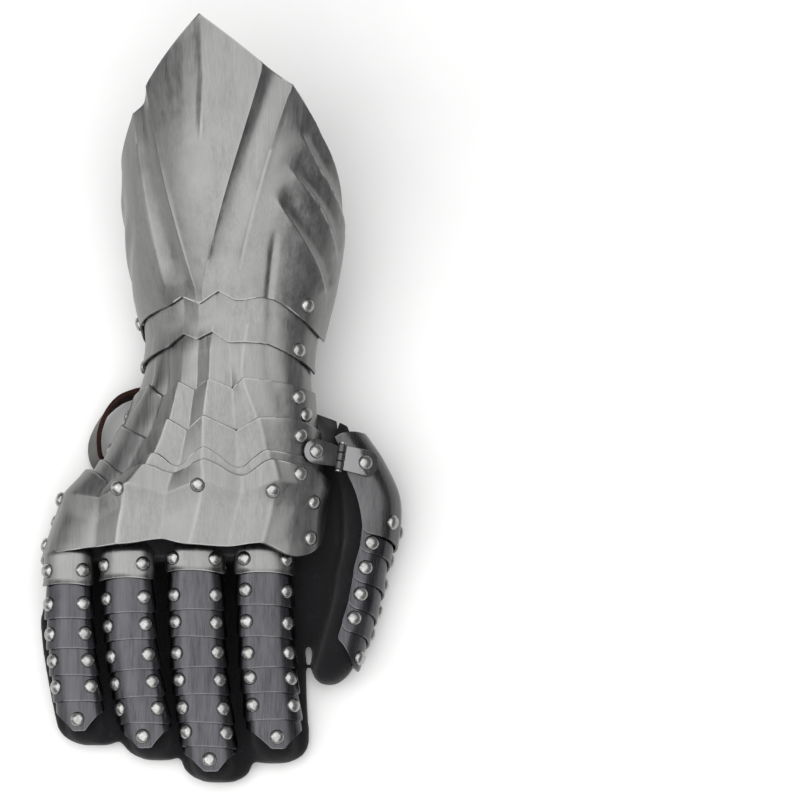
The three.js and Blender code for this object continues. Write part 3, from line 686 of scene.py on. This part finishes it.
def make_hand_plate(name):
    lower, upper, _, soft = HAND_PLATES[name]

    def angle_at(s, y):
        return in_list(hand_angles(y), s)

    def place(s, v):
        low, high = in_list(lower, s, soft), in_list(upper, s, soft)
        if name == "knuckle_plate":
            # The lower corner by the thumb is rounded
            gap = (hand_angles(-30)[-1] - angle_at(s, -30)) * 0.95
            low += rounded(KNUCKLE_CORNER, KNUCKLE_CORNER - gap)
        return lerp(low, high, v)

    def point(s, v, drop):
        y = place(s, v)
        return on_form(ARM, angle_at(s, y), y, hand_lift(name, s, y) - drop)

    # Painted highlight along the flute lines below y 70, twice as strong on the odd lines as on the even
    # ones
    def crease_highlight(s, v):
        if not 1 <= s <= 7.4 or place(s, v) >= 70:
            return 0.0
        odd = round(s) % 2 == 1
        return 0.3 * max(0.0, 1 - abs(s - round(s)) * 12) * (1.0 if odd else 0.5)

    def surface(angle, y):
        return on_form(ARM, angle, y, hand_lift(name, flute_place(angle, y), y))

    length = max(h - l for l, h in zip(lower, upper))
    bm = sheet_mesh(point, setting("plate_thickness"),
                    fine_steps(LINE_COUNT, [20, 12, 12, 14, 14, 14, 10, 10, 16]),
                    rows_with_rim(length, 0.9), crease_highlight=crease_highlight)
    for angle, y in HAND_RIVETS.get(name, []):
        add_rivet(bm, surface, angle, y)
    if name == "wrist_lame":
        for angle, y in LAME_PIVOTS:
            add_pivot(bm, surface, angle, y, LAME_REACH)
    body = "wrist_lame" if name == "wrist_lame" else "hand"
    finish_piece(bm, f"{name}_steel", body, PLATE_MATERIALS, [name])


# ---- cuff
def cuff_angles(y):
    key = ("cuff", round(y, 4))
    if key not in SECTIONS:
        centre = -6 + (9 * (y - 85)) / 125
        rise = clamp((y - 87) / 96)
        inner = 2 + 29.5 * rise ** 0.8
        outer = 27 + 17 * rise ** 0.9
        SECTIONS[key] = [
            -118, -99, -75 + 10 * rise,
            centre - outer, centre - (outer + inner) / 2, centre - inner, centre,
            centre + inner * 1.13 - 2.5 * rise ** 3, centre + outer * 0.53 + inner * 0.565,
            centre + outer * 1.06 + 4 * rise ** 3,
            46 + 17 * rise, 72 + 6 * rise, 90, 106,
        ]
    return SECTIONS[key]


def side_flute(angle, y, flutes, strength):
    """Curved flutes: a crisp crest with a hollow under it, fading in and out along the curve."""
    total = 0.0
    crest = 0.0
    for flute in flutes:
        best = None
        for (a0, y0), (a1, y1) in zip(flute, flute[1:]):
            dx, dy = (a1 - a0) * 0.9, y1 - y0
            px, py = (angle - a0) * 0.9, y - y0
            t = clamp((px * dx + py * dy) / (dx * dx + dy * dy))
            ex, ey = px - t * dx, py - t * dy
            distance = math.hypot(ex, ey)
            signed = -distance if dx * ey - dy * ex > 0 else distance
            if best is None or distance < abs(best[0]):
                index = flute.index((a0, y0)) + t
                best = (signed, index / (len(flute) - 1))
        signed, along = best
        fade = smooth(clamp(along / 0.2) * clamp((1.04 - along) / 0.12))
        if signed >= 0:
            shape = 0.9 * math.exp(-signed / 5.0)
        else:
            shape = 0.9 * math.exp(signed / 1.1) - 1.6 * (1 - math.exp(signed / 1.6)) * math.exp(
                -((signed + 5.5) / 4.5) ** 2)
        total += shape * fade * strength
        # Painted highlight along the crest line
        crest = max(crest, 0.6 * fade * strength * max(0.0, 1 - abs(signed) / 1.2))
    return total, crest


MIRRORED_FLUTES = [[(-14 - a * 1.02, y) for a, y in flute] for flute in SIDE_FLUTES]


def cuff_relief(s, angle, y):
    """Height of the cuff's surface over its form, and how strong the painted highlight along its creases
    is there.
    """
    grow = linear([[76, 0.0], [90, 0.3], [101, 1]], y)
    fold = min(abs(s - 4), abs(s - 8))
    height = 0.0
    crease_highlight = 0.0
    if fold < 1:
        height -= setting("trough_depth") * math.cos(fold * math.pi / 2) * grow
    # Painted highlight along the flute lines of the V, which also stand up a little
    for line in (3, 5, 7, 9):
        near = abs(s - line)
        crease_highlight = max(crease_highlight, clamp(1 - near * 12) * 0.14 * grow)
        height += 0.22 * max(0.0, 1 - near * 7) * grow
    # A sharp rib from the point of the cuff: steep on its left, gentle on its right, with a V end
    across = (angle - cuff_angles(y)[6] - 3.8 * clamp((212 - y) / 30)) * 0.88
    if y > RIB_FOOT:
        open_up = clamp((y - RIB_FOOT) / 14)
        left = clamp(1 + across / lerp(0.6, 2.2, open_up))
        right = clamp(1 - across / lerp(1.0, 6.0, open_up))
        rise = smooth(left) if across < 0 else right ** 1.6
        height += 0.85 * rise * clamp((y - RIB_FOOT) / 8) * clamp((216 - y) / 20)
        # Painted highlight along the rib's crest
        crease_highlight = max(crease_highlight, 0.3 * clamp(1 - abs(across) / 0.8) * clamp((y - RIB_FOOT - 1) / 6))
    # Shallow crease on the thumb side, carried on down the wrist
    dent = clamp((112 - y) / 10) * math.exp(-((angle - 45) * 0.85 / 1.5) ** 2)
    height -= 0.9 * dent
    for past, flutes, strength in ((s - 9, SIDE_FLUTES, 1.0), (3 - s, MIRRORED_FLUTES, 0.55)):
        if past > 0:
            # Each flute's crest also gets its painted highlight
            swell, flute_highlight = side_flute(angle, y, flutes, strength)
            height += swell * clamp(past / 0.4)
            crease_highlight = max(crease_highlight, flute_highlight * clamp(past / 0.4))
    return height, crease_highlight


def make_cuff():
    def edge(values, s):
        k = min(int(s), len(values) - 2)
        if 2 <= k < 9:
            return in_list(values, s)
        before, after = values[max(k - 1, 0)], values[min(k + 2, len(values) - 1)]
        return curve(before, values[k], values[k + 1], after, s - k)

    shapes = {}

    def shape(s, v):
        if (s, v) not in shapes:
            y = lerp(edge(CUFF_LOW, s), edge(CUFF_HIGH, s), v)
            angle = in_list(cuff_angles(y), s)
            shapes[s, v] = (y, angle, *cuff_relief(s, angle, y))
        return shapes[s, v]

    def point(s, v, drop):
        y, angle, height, _ = shape(s, v)
        return on_form(ARM, angle, y, CUFF_LIFT + height - drop)

    cuts = [10, 14, 14, 10, 10, 20, 20, 10, 10, 16, 16, 16, 12]
    bm = sheet_mesh(point, setting("plate_thickness"),
                    fine_steps(len(CUFF_LOW) - 1, cuts), rows_with_rim(105, 1.15, 0.9),
                    crease_highlight=lambda s, v: shape(s, v)[3])
    for angle, y in CUFF_PIVOTS:
        add_pivot(bm, lambda a, at: on_form(ARM, a, at, CUFF_LIFT), angle, y, CUFF_REACH)
    finish_piece(bm, "cuff_steel", "cuff", PLATE_MATERIALS, ["cuff"])


# ---- finger and thumb lames
def finger_form(name, arch=None):
    """The form of a finger's lames, a shallow arch, or without an arch that of its leather."""
    x, top, half, roll, _, _, end = FINGERS[name]
    rows = []
    for place in (1, 0.5, 0):
        wide, high = lerp(*half, place), lerp(*top, place)
        rise = wide * arch if arch else high * 0.54
        rows.append([lerp(FINGER_ROOT, end, place), x[int(place * 2)], high - rise, wide, rise,
                     roll if arch else roll / 2, 2.5])
    return rows


FORMS = {name: finger_form(name, ARCH) for name in FINGERS}
FORMS["thumb"] = THUMB
STALLS = {name: finger_form(name) for name in FINGERS}


def corner_columns(half_arc, radius, cuts):
    """Places -1..1 across a lame, close together in its rounded corners."""
    flat = 1 - radius / half_arc
    turn = [flat + (1 - flat) * math.sin(math.pi / 2 * i / 7) for i in range(8)]
    middle = [flat * i / cuts for i in range(cuts)]
    right = middle + turn
    return [-u for u in reversed(right[1:])] + right


def corner_rise(u, half_arc, radius):
    """How far a rounded corner draws the edge in at place u."""
    return rounded(radius, abs(u) * half_arc - (half_arc - radius))


def lame_piece(name, form, outline, spread_angle, lift, rivets, half_arc, radius, first=False):
    """One lame: outline(u) gives the free and the hidden edge, lift(y, u) its height."""
    free, hidden = outline(0.0)
    # The thumb's lames lie askew, lower on the far side
    askew = THUMB_SKEW if form is THUMB else 0.0

    def point(u, v, drop):
        y = lerp(*outline(u), v)
        return on_form(form, u * spread_angle, y - askew * u, lift(y, u) - drop)

    def surface(angle, y):
        u = angle / spread_angle
        return on_form(form, angle, y, lift(y + askew * u, u))

    bm = sheet_mesh(point, setting("lame_thickness"), corner_columns(half_arc, radius, 12),
                    rows_with_rim(hidden - free, 1.1), bevel=0.24)
    for angle, y in rivets:
        add_rivet(bm, surface, angle, y - askew * angle / spread_angle)
    finish_piece(bm, f"{name}_steel", "hand", PLATE_MATERIALS if first else LAME_MATERIALS, [name])


def make_lames(name, edges, end, spread_angle, rivet_angle, first_hidden, above):
    """The lames of a finger or the thumb from its root on, and its pointed tip plate."""
    form = FORMS[name]
    finger = name != "thumb"
    half_arc = section(form, -60)[2] * (1.17 if finger else 1.22)
    chance = random.Random(len(name) * 7 + len(edges))
    starts = [first_hidden] + [y + OVERLAP for y in edges]
    for i, free in enumerate(edges):
        hidden = starts[i]
        first = finger and i == 0
        skew = chance.uniform(-0.9, 0.9)
        bow = 0.7 if i else 1.6

        def outline(u):
            low = free + corner_rise(u, half_arc, LAME_CORNER) + skew * u + bow * (1 - u * u) - bow * 0.4
            return low, hidden - 1.2 * u ** 4

        def lift(y, u):
            if not first:
                return linear([[free, SHINGLE], [hidden, 0]], y)
            return (linear([[free, SHINGLE], [above, FIRST_LIFT], [hidden, -2.6]], y)
                    + 0.9 * clamp((free + 2.6 - y) / 2.6))

        at = min(free + 7.4, (edges[i - 1] if i else above) - 3.7)
        lame_piece(f"{name}_lame_{i + 1}", form, outline, spread_angle, lift,
                   [(-rivet_angle, at - skew * 0.4), (rivet_angle, at + skew * 0.4)],
                   half_arc, LAME_CORNER, first)
    hidden = starts[-1]

    def aside(u):
        return math.sin(math.radians(abs(u) * spread_angle))

    def tip_outline(u):
        low = linear([[aside(0.2), end], [aside(1), end + TIP_LENGTH]], aside(u))
        return low + corner_rise(u, half_arc, 1.6), hidden - 1.2 * u ** 4

    lame_piece(f"{name}_tip", form, tip_outline, spread_angle,
               lambda y, u: linear([[end, SHINGLE], [hidden, 0]], y), [(0, end + 5.5)], half_arc, 2.0)


def make_thumb_plate():
    edge, top = THUMB_EDGES[0], THUMB_ROOT + 2

    def wide(u, y):
        return linear(THUMB_PLATE_LEFT if u < 0 else [[edge, 84], [8, 84], [top, 60]], y)

    def outline(u):
        return edge + corner_rise(u, 18, 3.0), top - 3 * abs(u) ** 3

    def lift(y, u):
        ridge = 0.8 * max(0.0, 1 - abs(u + 0.3) * 3.2) * clamp((14 - y) / 20)
        return linear([[edge, 2.9], [top, 1.4]], y) + ridge

    def point(u, v, drop):
        y = lerp(*outline(u), v)
        return on_form(THUMB, u * wide(u, y), y - THUMB_SKEW * u * (1 - v), lift(y, u) - drop)

    bm = sheet_mesh(point, setting("plate_thickness"), corner_columns(18, 3.0, 18),
                    rows_with_rim(top - edge, 1.0))
    for angle, y in ((-13, -17), (50, -19)):
        add_rivet(bm, lambda a, at: on_form(THUMB, a, at, lift(at, a / wide(a, at))), angle, y)
    finish_piece(bm, "thumb_plate_steel", "hand", DARK_MATERIALS, ["thumb_plate"])


# ---- hinge
def make_leaf(name, reach, drop, bands, corner):
    """A leaf with rounded end, barrel knuckles round the pin and one rivet."""
    width, far = HINGE_HALF, abs(reach)
    arc = [math.pi / 2 * i / 8 for i in range(9)]
    narrow = 0.82 if reach < 0 else 1.0
    outline = [(HINGE_RADIUS * 0.7, -width * narrow)]
    start, side = far - corner, width - corner
    outline += [(start + corner * math.sin(t), -side - corner * math.cos(t)) for t in arc]
    outline += [(start + corner * math.cos(t), side + corner * math.sin(t)) for t in arc]
    outline += [(HINGE_RADIUS * 0.7, width * narrow)]
    bm = bmesh.new()
    highlight_and_polish = bm.verts.layers.float.new("highlight_and_polish")
    half = HINGE_LEAF / 2
    low = [bm.verts.new(Vector((x, y, -half)) * MM) for x, y in outline]
    high = [bm.verts.new(Vector((x, y, half)) * MM) for x, y in outline]
    bm.faces.new(low[::-1])
    bm.faces.new(high)
    rim = []
    for i in range(len(outline)):
        k = (i + 1) % len(outline)
        bm.faces.new((low[i], low[k], high[k], high[i]))
        rim += [bm.edges.get((low[i], low[k])), bm.edges.get((high[i], high[k]))]
    # The whole upper face gets a painted highlight and a smoother polish
    for vert in high:
        vert[highlight_and_polish] = 0.8
    bmesh.ops.bevel(bm, geom=rim, offset=0.25 * MM, segments=2, profile=0.5, affect="EDGES")
    for start, end in bands:
        add_turned(bm, [(HINGE_RADIUS - 0.3, start), (HINGE_RADIUS, start + 0.3),
                        (HINGE_RADIUS, end - 0.3), (HINGE_RADIUS - 0.3, end)],
                   Vector((0, 0, 0)), Vector((0, 1, 0)), 24, 0)
    add_turned(bm, rivet_profile(), Vector((far - 6.0, 0, half)), Vector((0, 0, 1)), 24, 1)
    lean = Matrix.Rotation(math.atan2(drop, far), 4, "Y")
    turn = Matrix.Rotation(math.radians(HINGE_TURN + (180 if reach < 0 else 0)), 4, "Z")
    bm.transform(Matrix.Translation(HINGE_AT * MM) @ turn @ lean)
    finish_piece(bm, f"{name}_steel", "hand", DARK_MATERIALS, [name])


def make_hinge():
    third = HINGE_HALF / 3
    make_leaf("hinge_leaf_hand", -18.4, -7.6,
              [(-HINGE_HALF, -third - 0.15), (third + 0.15, HINGE_HALF)], 5.9)
    make_leaf("hinge_leaf_thumb", 18.5, 7, [(-third + 0.05, third - 0.05)], 4.6)
    bm = bmesh.new()
    end = HINGE_HALF
    upper = [(1.0, end), (1.7, end + 0.3), (1.7, end + 1.0), (1.2, end + 1.3)]
    lower = [(radius, -y) for radius, y in reversed(upper)]
    add_turned(bm, lower + upper, HINGE_AT,
               Matrix.Rotation(math.radians(HINGE_TURN), 3, "Z") @ Vector((0, 1, 0)), 20, 0)
    finish_piece(bm, "hinge_pin_steel", "hand", ("tumbled_rivet_steel",), ["hinge_pin"])


# ---- glove
def add_tube(bm, rings):
    """Adds a closed tube through rings of points, capped at both ends."""
    made = [[bm.verts.new(p * MM) for p in ring] for ring in rings]
    count = len(rings[0])
    for low, high in zip(made, made[1:]):
        for i in range(count):
            k = (i + 1) % count
            bm.faces.new((low[i], low[k], high[k], high[i]))
    bm.faces.new(made[0][::-1])
    bm.faces.new(made[-1])


def oval_ring(y, *oval, count=36):
    """A ring of points round an oval, none of them below the floor."""
    ring = [oval_point(y, oval, 2 * math.pi * i / count) for i in range(count)]
    for point in ring:
        point.z = max(point.z, 0.0)
    return ring


def blunt(y, end, nose):
    """Size of a stall's section near its blunt end, 0..1."""
    t = clamp((y - end) / nose)
    return math.sqrt(1 - (1 - t) ** 2.4) if t > 0 else 0.0


def add_stall(bm, end, root, ease, leather, underside):
    """A stall and its wide flat underside: both ovals at y shrink to a blunt end."""
    places = [lerp(end + 0.4, root, (k / 40) ** ease) for k in range(41)]
    add_tube(bm, [oval_ring(y, *leather(y, max(blunt(y, end, 9), 0.12))) for y in places])
    add_tube(bm, [oval_ring(y, *underside(y, max(blunt(y, end - 0.2, 11), 0.1))) for y in places])


def glove_tubes(bm):
    """Closed outer shapes of the hand, the stalls and the thumb web."""
    hand = []
    for k in range(25):
        y = lerp(-33, 60, k / 24)
        cx, cz, a, b, roll, square = section(ARM, y)
        lift = linear([[-32, -9.5], [-20, -8.5], [-10, -3.6]], y)
        hand.append(oval_ring(y, cx, cz, a + lift, b + lift, roll, square, count=48))
    add_tube(bm, hand)
    for name, (_, _, _, roll, _, _, end) in FINGERS.items():
        def leather(y, size):
            cx, cz, a, b, _, _ = section(STALLS[name], y)
            return (cx, lerp(cz * 0.8, cz, size), (a - FINGER_INSET) * size, (b - FINGER_INSET) * size,
                    roll / 2, 2.5)

        def underside(y, size):
            cx, _, a, _, _, _ = section(STALLS[name], y)
            side = 2.6 + 1.2 * clamp((y - end - 20) / 30)
            left, right = (linear([(row[0], row[i]) for row in UNDERSIDES[name]], y) for i in (1, 2))
            return (cx + (right - left) / 2, 5.4, (a + side + (right + left) / 2) * size,
                    lerp(4.0, 5.4, size), 0, 2.8)

        add_stall(bm, end, -22, 1.25, leather, underside)

    def thumb_leather(y, size):
        cx, cz, a, b, roll, _ = section(THUMB, y)
        return cx, cz, (a - THUMB_INSET) * size, (b - THUMB_INSET) * size, roll, 2.2

    def thumb_underside(y, size):
        cx, _, a, _, _, _ = section(THUMB, y)
        inward = lerp(-2.0, 9.0, clamp((y + 90) / 45))
        return (cx - inward / 2 - 1.0, 7.0, (a - 1.0 + inward / 2) * size, lerp(4.0, 7.0, size), 0, 2.6)

    add_stall(bm, THUMB_STALL_END, 18, 1.15, thumb_leather, thumb_underside)
    web = []
    for k in range(17):
        t = k / 16
        size = max(0.2, math.sin(math.pi * (k + 1) / 18) ** 0.5)
        web.append(oval_ring(lerp(-72.5, 26, t), lerp(47, 56, t), lerp(7.5, 17, t), 14 * size,
                             lerp(7.5, 14, t) * size, 0, 2.4))
    add_tube(bm, web)


def make_glove():
    """The tubes are fused by remeshing, smoothed, opened at the wrist and given thickness."""
    bm = bmesh.new()
    glove_tubes(bm)
    bmesh.ops.recalc_face_normals(bm, faces=bm.faces)
    mesh = bpy.data.meshes.new("glove_tubes")
    bm.to_mesh(mesh)
    bm.free()
    rough = bpy.data.objects.new("glove_tubes", mesh)
    bpy.context.scene.collection.objects.link(rough)
    remesh = rough.modifiers.new("fuse", "REMESH")
    remesh.mode = "VOXEL"
    remesh.voxel_size = GLOVE_VOXEL * MM
    soften = rough.modifiers.new("soften", "SMOOTH")
    soften.factor = 0.5
    soften.iterations = 5
    bpy.context.view_layer.update()
    fused = bpy.data.meshes.new_from_object(
        rough.evaluated_get(bpy.context.evaluated_depsgraph_get()))
    bpy.data.objects.remove(rough)

    bm = bmesh.new()
    bm.from_mesh(fused)
    bpy.data.meshes.remove(fused)
    bm.verts.layers.float.new("highlight_and_polish")
    bmesh.ops.bisect_plane(bm, geom=bm.verts[:] + bm.edges[:] + bm.faces[:],
                           plane_co=(0, GLOVE_OPENING * MM, 0), plane_no=(0, 1, 0), clear_outer=True)
    chance = random.Random(4)
    for vert in bm.verts:
        vert.co.z = max(vert.co.z, 0.0002) + chance.uniform(0, 0.00012)
    bmesh.ops.recalc_face_normals(bm, faces=bm.faces)
    glove = finish_piece(bm, "glove_leather", "hand",
                         ("black_split_suede", "dressed_gusset_leather"),
                         ["glove_hand"] + [f"glove_{n}" for n in (*FINGERS, "thumb")], 60)
    thick = glove.modifiers.new("leather", "SOLIDIFY")
    thick.thickness = bpy.context.scene.gauntlet.leather_thickness
    thick.offset = -1


def gusset_patch(corners, rise):
    """A bmesh of a thin patch between four corners, crowned by a rise."""
    def point(u, v, drop):
        at = corners[0].lerp(corners[1], u).lerp(corners[3].lerp(corners[2], u), v)
        at.z += rise * math.sin(math.pi * u) * math.sin(math.pi * clamp(v * 0.8 + 0.1)) - drop
        return at

    steps = [i / 14 for i in range(15)]
    return sheet_mesh(point, 1.6, steps, steps, 0.3)


def make_gusset():
    """The smooth leather gusset between the lames and the thumb plate, and its cut point."""
    bm = gusset_patch([Vector((50, 19, 36)), Vector((66, 14, 31)), Vector((64, 31, 31)),
                       Vector((51, 35, 35))], 3.5)
    cut_point = gusset_patch([Vector((62, 20, 32)), Vector((73, 19, 31)), Vector((69, 28.5, 32)),
                              Vector((65.5, 30, 33))], 1.5)
    for face in cut_point.faces:
        face.material_index = 1
    spare = bpy.data.meshes.new("spare")
    cut_point.to_mesh(spare)
    cut_point.free()
    bm.from_mesh(spare)
    bpy.data.meshes.remove(spare)
    finish_piece(bm, "gusset_leather", "hand", ("dressed_gusset_leather", "black_split_suede"),
                 [])


# ---- strap
def route_at(rows, t):
    """A smooth curve through rows of numbers, at t from 0 to 1."""
    place = clamp(t) * (len(rows) - 1)
    k = min(int(place), len(rows) - 2)
    u = place - k
    near = [rows[clamp(k + i, 0, len(rows) - 1)] for i in (-1, 0, 1, 2)]
    return [curve(*four, u) for four in zip(*near)]


def make_strap():
    width = setting("strap_width")
    # Section: grain side out, square cut edges slightly rounded
    profile = []
    for u, n in ((-1, -1), (-1, 1), (1, 1), (1, -1)):
        x, z = u * width / 2, n * STRAP_THICKNESS / 2
        cut = [(x - u * 0.5, z), (x, z - n * 0.5)]
        profile += cut if u * n > 0 else cut[::-1]
    count = 180
    chance = random.Random(9)
    bm = bmesh.new()
    bm.verts.layers.float.new("highlight_and_polish")
    rings = []
    for i in range(count + 1):
        t = i / count
        here = route_at(STRAP_ROUTE, t)
        ahead, behind = (Vector(route_at(STRAP_ROUTE, t + step)[:3]) for step in (0.004, -0.004))
        tangent = (ahead - behind).normalized()
        side = Vector(here[3:])
        side = (side - tangent * side.dot(tangent)).normalized()
        normal = tangent.cross(side)
        ragged = chance.uniform(-0.12, 0.12)
        ring = []
        for x, z in profile:
            aside = x + ragged if abs(x) > width / 2 - 0.2 else x
            point = Vector(here[:3]) + side * aside + normal * z
            point.z = max(point.z, 0.25)
            ring.append(bm.verts.new(point * MM))
        rings.append(ring)
    n = len(profile)
    for low, high in zip(rings, rings[1:]):
        for i in range(n):
            k = (i + 1) % n
            face = bm.faces.new((low[i], low[k], high[k], high[i]))
            outer = min(profile[i][1], profile[k][1]) > STRAP_THICKNESS / 2 - 0.1
            face.material_index = 0 if outer else 1
    for ring, flip in ((rings[0], True), (rings[-1], False)):
        face = bm.faces.new(ring[::-1] if flip else ring)
        face.material_index = 1
    finish_piece(bm, "strap_leather", "hand", ("dressed_strap_leather", "raw_leather_edge"),
                 ["strap"])


# ---- stage
# Softboxes: place, size and power. All face the middle of the gauntlet.
SOFTBOXES = {
    "softbox_main": ((-0.15, -0.15, 1.3), (2.0, 2.7), 31.5),
    "softbox_left": ((-1.2, 0.0, 0.7), (0.4, 1.6), 2.6),
    "softbox_front": ((0.2, -1.4, 0.7), (1.2, 0.25), 2.0),
}
FLOOR_REACH = 4.0
# What the camera looks at, in mm
CAMERA_AIM = Vector((94, 38.4, 45))


def add_softbox(name, at, aim, size, power):
    light = bpy.data.lights.new(name, "AREA")
    light.shape = "RECTANGLE"
    light.size, light.size_y = size
    light.energy = power
    lamp = bpy.data.objects.new(name, light)
    lamp.location = at
    lamp.rotation_mode = "QUATERNION"
    lamp.rotation_quaternion = (Vector(aim) - Vector(at)).to_track_quat("-Z", "Y")
    bpy.context.scene.collection.objects.link(lamp)


def make_stage():
    settings = bpy.context.scene.gauntlet
    low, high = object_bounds()
    centre = (Vector(low) + Vector(high)) / 2

    mesh = bpy.data.meshes.new("floor")
    corners = ((-1, -1), (1, -1), (1, 1), (-1, 1))
    mesh.from_pydata([(FLOOR_REACH * x, FLOOR_REACH * y, 0) for x, y in corners], [], [(0, 1, 2, 3)])
    mesh.materials.append(material("pale_board"))
    floor = bpy.data.objects.new("floor", mesh)
    bpy.context.scene.collection.objects.link(floor)
    floor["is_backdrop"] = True

    world = bpy.data.worlds.new("studio")
    world.use_nodes = True
    background = world.node_tree.nodes["Background"].inputs
    background["Color"].default_value = linear_colour("#F4F4F6")
    background["Strength"].default_value = settings.surroundings
    bpy.context.scene.world = world

    for name, (at, size, power) in SOFTBOXES.items():
        add_softbox(name, at, centre, size, power * settings.light_power)

    camera = bpy.data.cameras.new("camera")
    camera.lens = settings.lens
    view = bpy.data.objects.new("camera", camera)
    bpy.context.scene.collection.objects.link(view)
    bpy.context.scene.camera = view
    elevation = math.radians(settings.camera_elevation)
    back = Vector((0, -math.cos(elevation), math.sin(elevation)))
    distance = settings.picture_width * settings.lens / camera.sensor_width
    view.location = CAMERA_AIM * MM + back * distance
    view.rotation_mode = "QUATERNION"
    view.rotation_quaternion = (-back).to_track_quat("-Z", "Y")
    camera.clip_start, camera.clip_end = 0.01, 20
    bpy.context.scene.view_settings.view_transform = "Standard"


# ---- add-on
def length(name, description, default, **more):
    return bpy.props.FloatProperty(name=name, description=description, default=default,
                                   unit="LENGTH", precision=4, **more)


class GauntletSettings(bpy.types.PropertyGroup):
    plate_thickness: length("Plate thickness", "Sheet steel of the cuff and hand plates", 0.0012)
    lame_thickness: length("Lame thickness", "Sheet steel of the finger and thumb lames", 0.0010)
    leather_thickness: length("Leather thickness", "Suede of the glove", 0.0018)
    rivet_radius: length("Rivet radius", "Radius of the domed rivet heads", 0.0034)
    rivet_height: length("Rivet height", "Height of the domed rivet heads", 0.0021)
    flute_height: length("Flute height", "Half height of the flutes over the knuckles", 0.0013)
    trough_depth: length("Trough depth", "Depth of the two troughs of the cuff", 0.0022)
    strap_width: length("Strap width", "Width of the wrist strap", 0.0125)
    picture_width: length("Picture width", "Width that the camera sees at the gauntlet", 0.376)
    lens: bpy.props.FloatProperty(name="Lens", description="Focal length", default=150.0)
    camera_elevation: bpy.props.FloatProperty(
        name="Camera elevation", description="Degrees above the floor", default=78.0)
    light_power: bpy.props.FloatProperty(
        name="Light power", description="Scales every softbox", default=1.0)
    surroundings: bpy.props.FloatProperty(
        name="Surroundings", description="Brightness of the studio around the object", default=0.3)


class GAUNTLET_OT_stage(bpy.types.Operator):
    """Make the floor, the softboxes and the camera"""
    bl_idname = "gauntlet.stage"
    bl_label = "Stage"

    def execute(self, context):
        make_stage()
        return {"FINISHED"}


class GAUNTLET_OT_cuff(bpy.types.Operator):
    """Make the pointed, fluted cuff"""
    bl_idname = "gauntlet.cuff"
    bl_label = "Cuff"

    def execute(self, context):
        make_cuff()
        return {"FINISHED"}


class GAUNTLET_OT_hand_plates(bpy.types.Operator):
    """Make the wrist lame, the hand lames and the knuckle plate"""
    bl_idname = "gauntlet.hand_plates"
    bl_label = "Hand plates"

    def execute(self, context):
        for name in HAND_PLATES:
            make_hand_plate(name)
        return {"FINISHED"}


class GAUNTLET_OT_finger_lames(bpy.types.Operator):
    """Make the lames and tip plates of the four fingers"""
    bl_idname = "gauntlet.finger_lames"
    bl_label = "Finger lames"

    def execute(self, context):
        for name, finger in FINGERS.items():
            make_lames(name, finger[4], finger[5], FINGER_SPREAD, FINGER_RIVET_ANGLE,
                       FINGER_ROOT + 5.5, FINGER_ROOT - 1.5)
        return {"FINISHED"}


class GAUNTLET_OT_thumb(bpy.types.Operator):
    """Make the thumb plate, its lames and its tip plate"""
    bl_idname = "gauntlet.thumb"
    bl_label = "Thumb"

    def execute(self, context):
        make_thumb_plate()
        make_lames("thumb", THUMB_EDGES[1:], THUMB_PLATE_END, THUMB_SPREAD, THUMB_RIVET_ANGLE,
                   THUMB_EDGES[0] + OVERLAP, THUMB_EDGES[0])
        return {"FINISHED"}


class GAUNTLET_OT_hinge(bpy.types.Operator):
    """Make the strap hinge between the knuckle plate and the thumb plate"""
    bl_idname = "gauntlet.hinge"
    bl_label = "Thumb hinge"

    def execute(self, context):
        make_hinge()
        return {"FINISHED"}


class GAUNTLET_OT_glove(bpy.types.Operator):
    """Make the hollow suede glove and its gusset"""
    bl_idname = "gauntlet.glove"
    bl_label = "Glove"

    def execute(self, context):
        make_glove()
        make_gusset()
        return {"FINISHED"}


class GAUNTLET_OT_strap(bpy.types.Operator):
    """Make the leather wrist strap"""
    bl_idname = "gauntlet.strap"
    bl_label = "Strap"

    def execute(self, context):
        make_strap()
        return {"FINISHED"}


OPERATORS = (GAUNTLET_OT_stage, GAUNTLET_OT_cuff, GAUNTLET_OT_hand_plates, GAUNTLET_OT_finger_lames,
             GAUNTLET_OT_thumb, GAUNTLET_OT_hinge, GAUNTLET_OT_glove, GAUNTLET_OT_strap)


class GAUNTLET_PT_panel(bpy.types.Panel):
    """Sizes and pieces of the gauntlet"""
    bl_idname = "GAUNTLET_PT_panel"
    bl_label = "Gauntlet"
    bl_space_type = "VIEW_3D"
    bl_region_type = "UI"
    bl_category = "Gauntlet"

    def draw(self, context):
        for name in GauntletSettings.__annotations__:
            self.layout.prop(context.scene.gauntlet, name)
        for operator in OPERATORS:
            self.layout.operator(operator.bl_idname)


CLASSES = (GauntletSettings, *OPERATORS, GAUNTLET_PT_panel)


def register():
    for each in CLASSES:
        bpy.utils.register_class(each)
    bpy.types.Scene.gauntlet = bpy.props.PointerProperty(type=GauntletSettings)


def unregister():
    del bpy.types.Scene.gauntlet
    for each in reversed(CLASSES):
        bpy.utils.unregister_class(each)


def main():
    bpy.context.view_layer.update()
    register()
    bpy.ops.gauntlet.stage()
    bpy.ops.gauntlet.cuff()
    bpy.ops.gauntlet.hand_plates()
    bpy.ops.gauntlet.finger_lames()
    bpy.ops.gauntlet.thumb()
    bpy.ops.gauntlet.hinge()
    bpy.ops.gauntlet.glove()
    bpy.ops.gauntlet.strap()


if __name__ == "__main__":
    main()
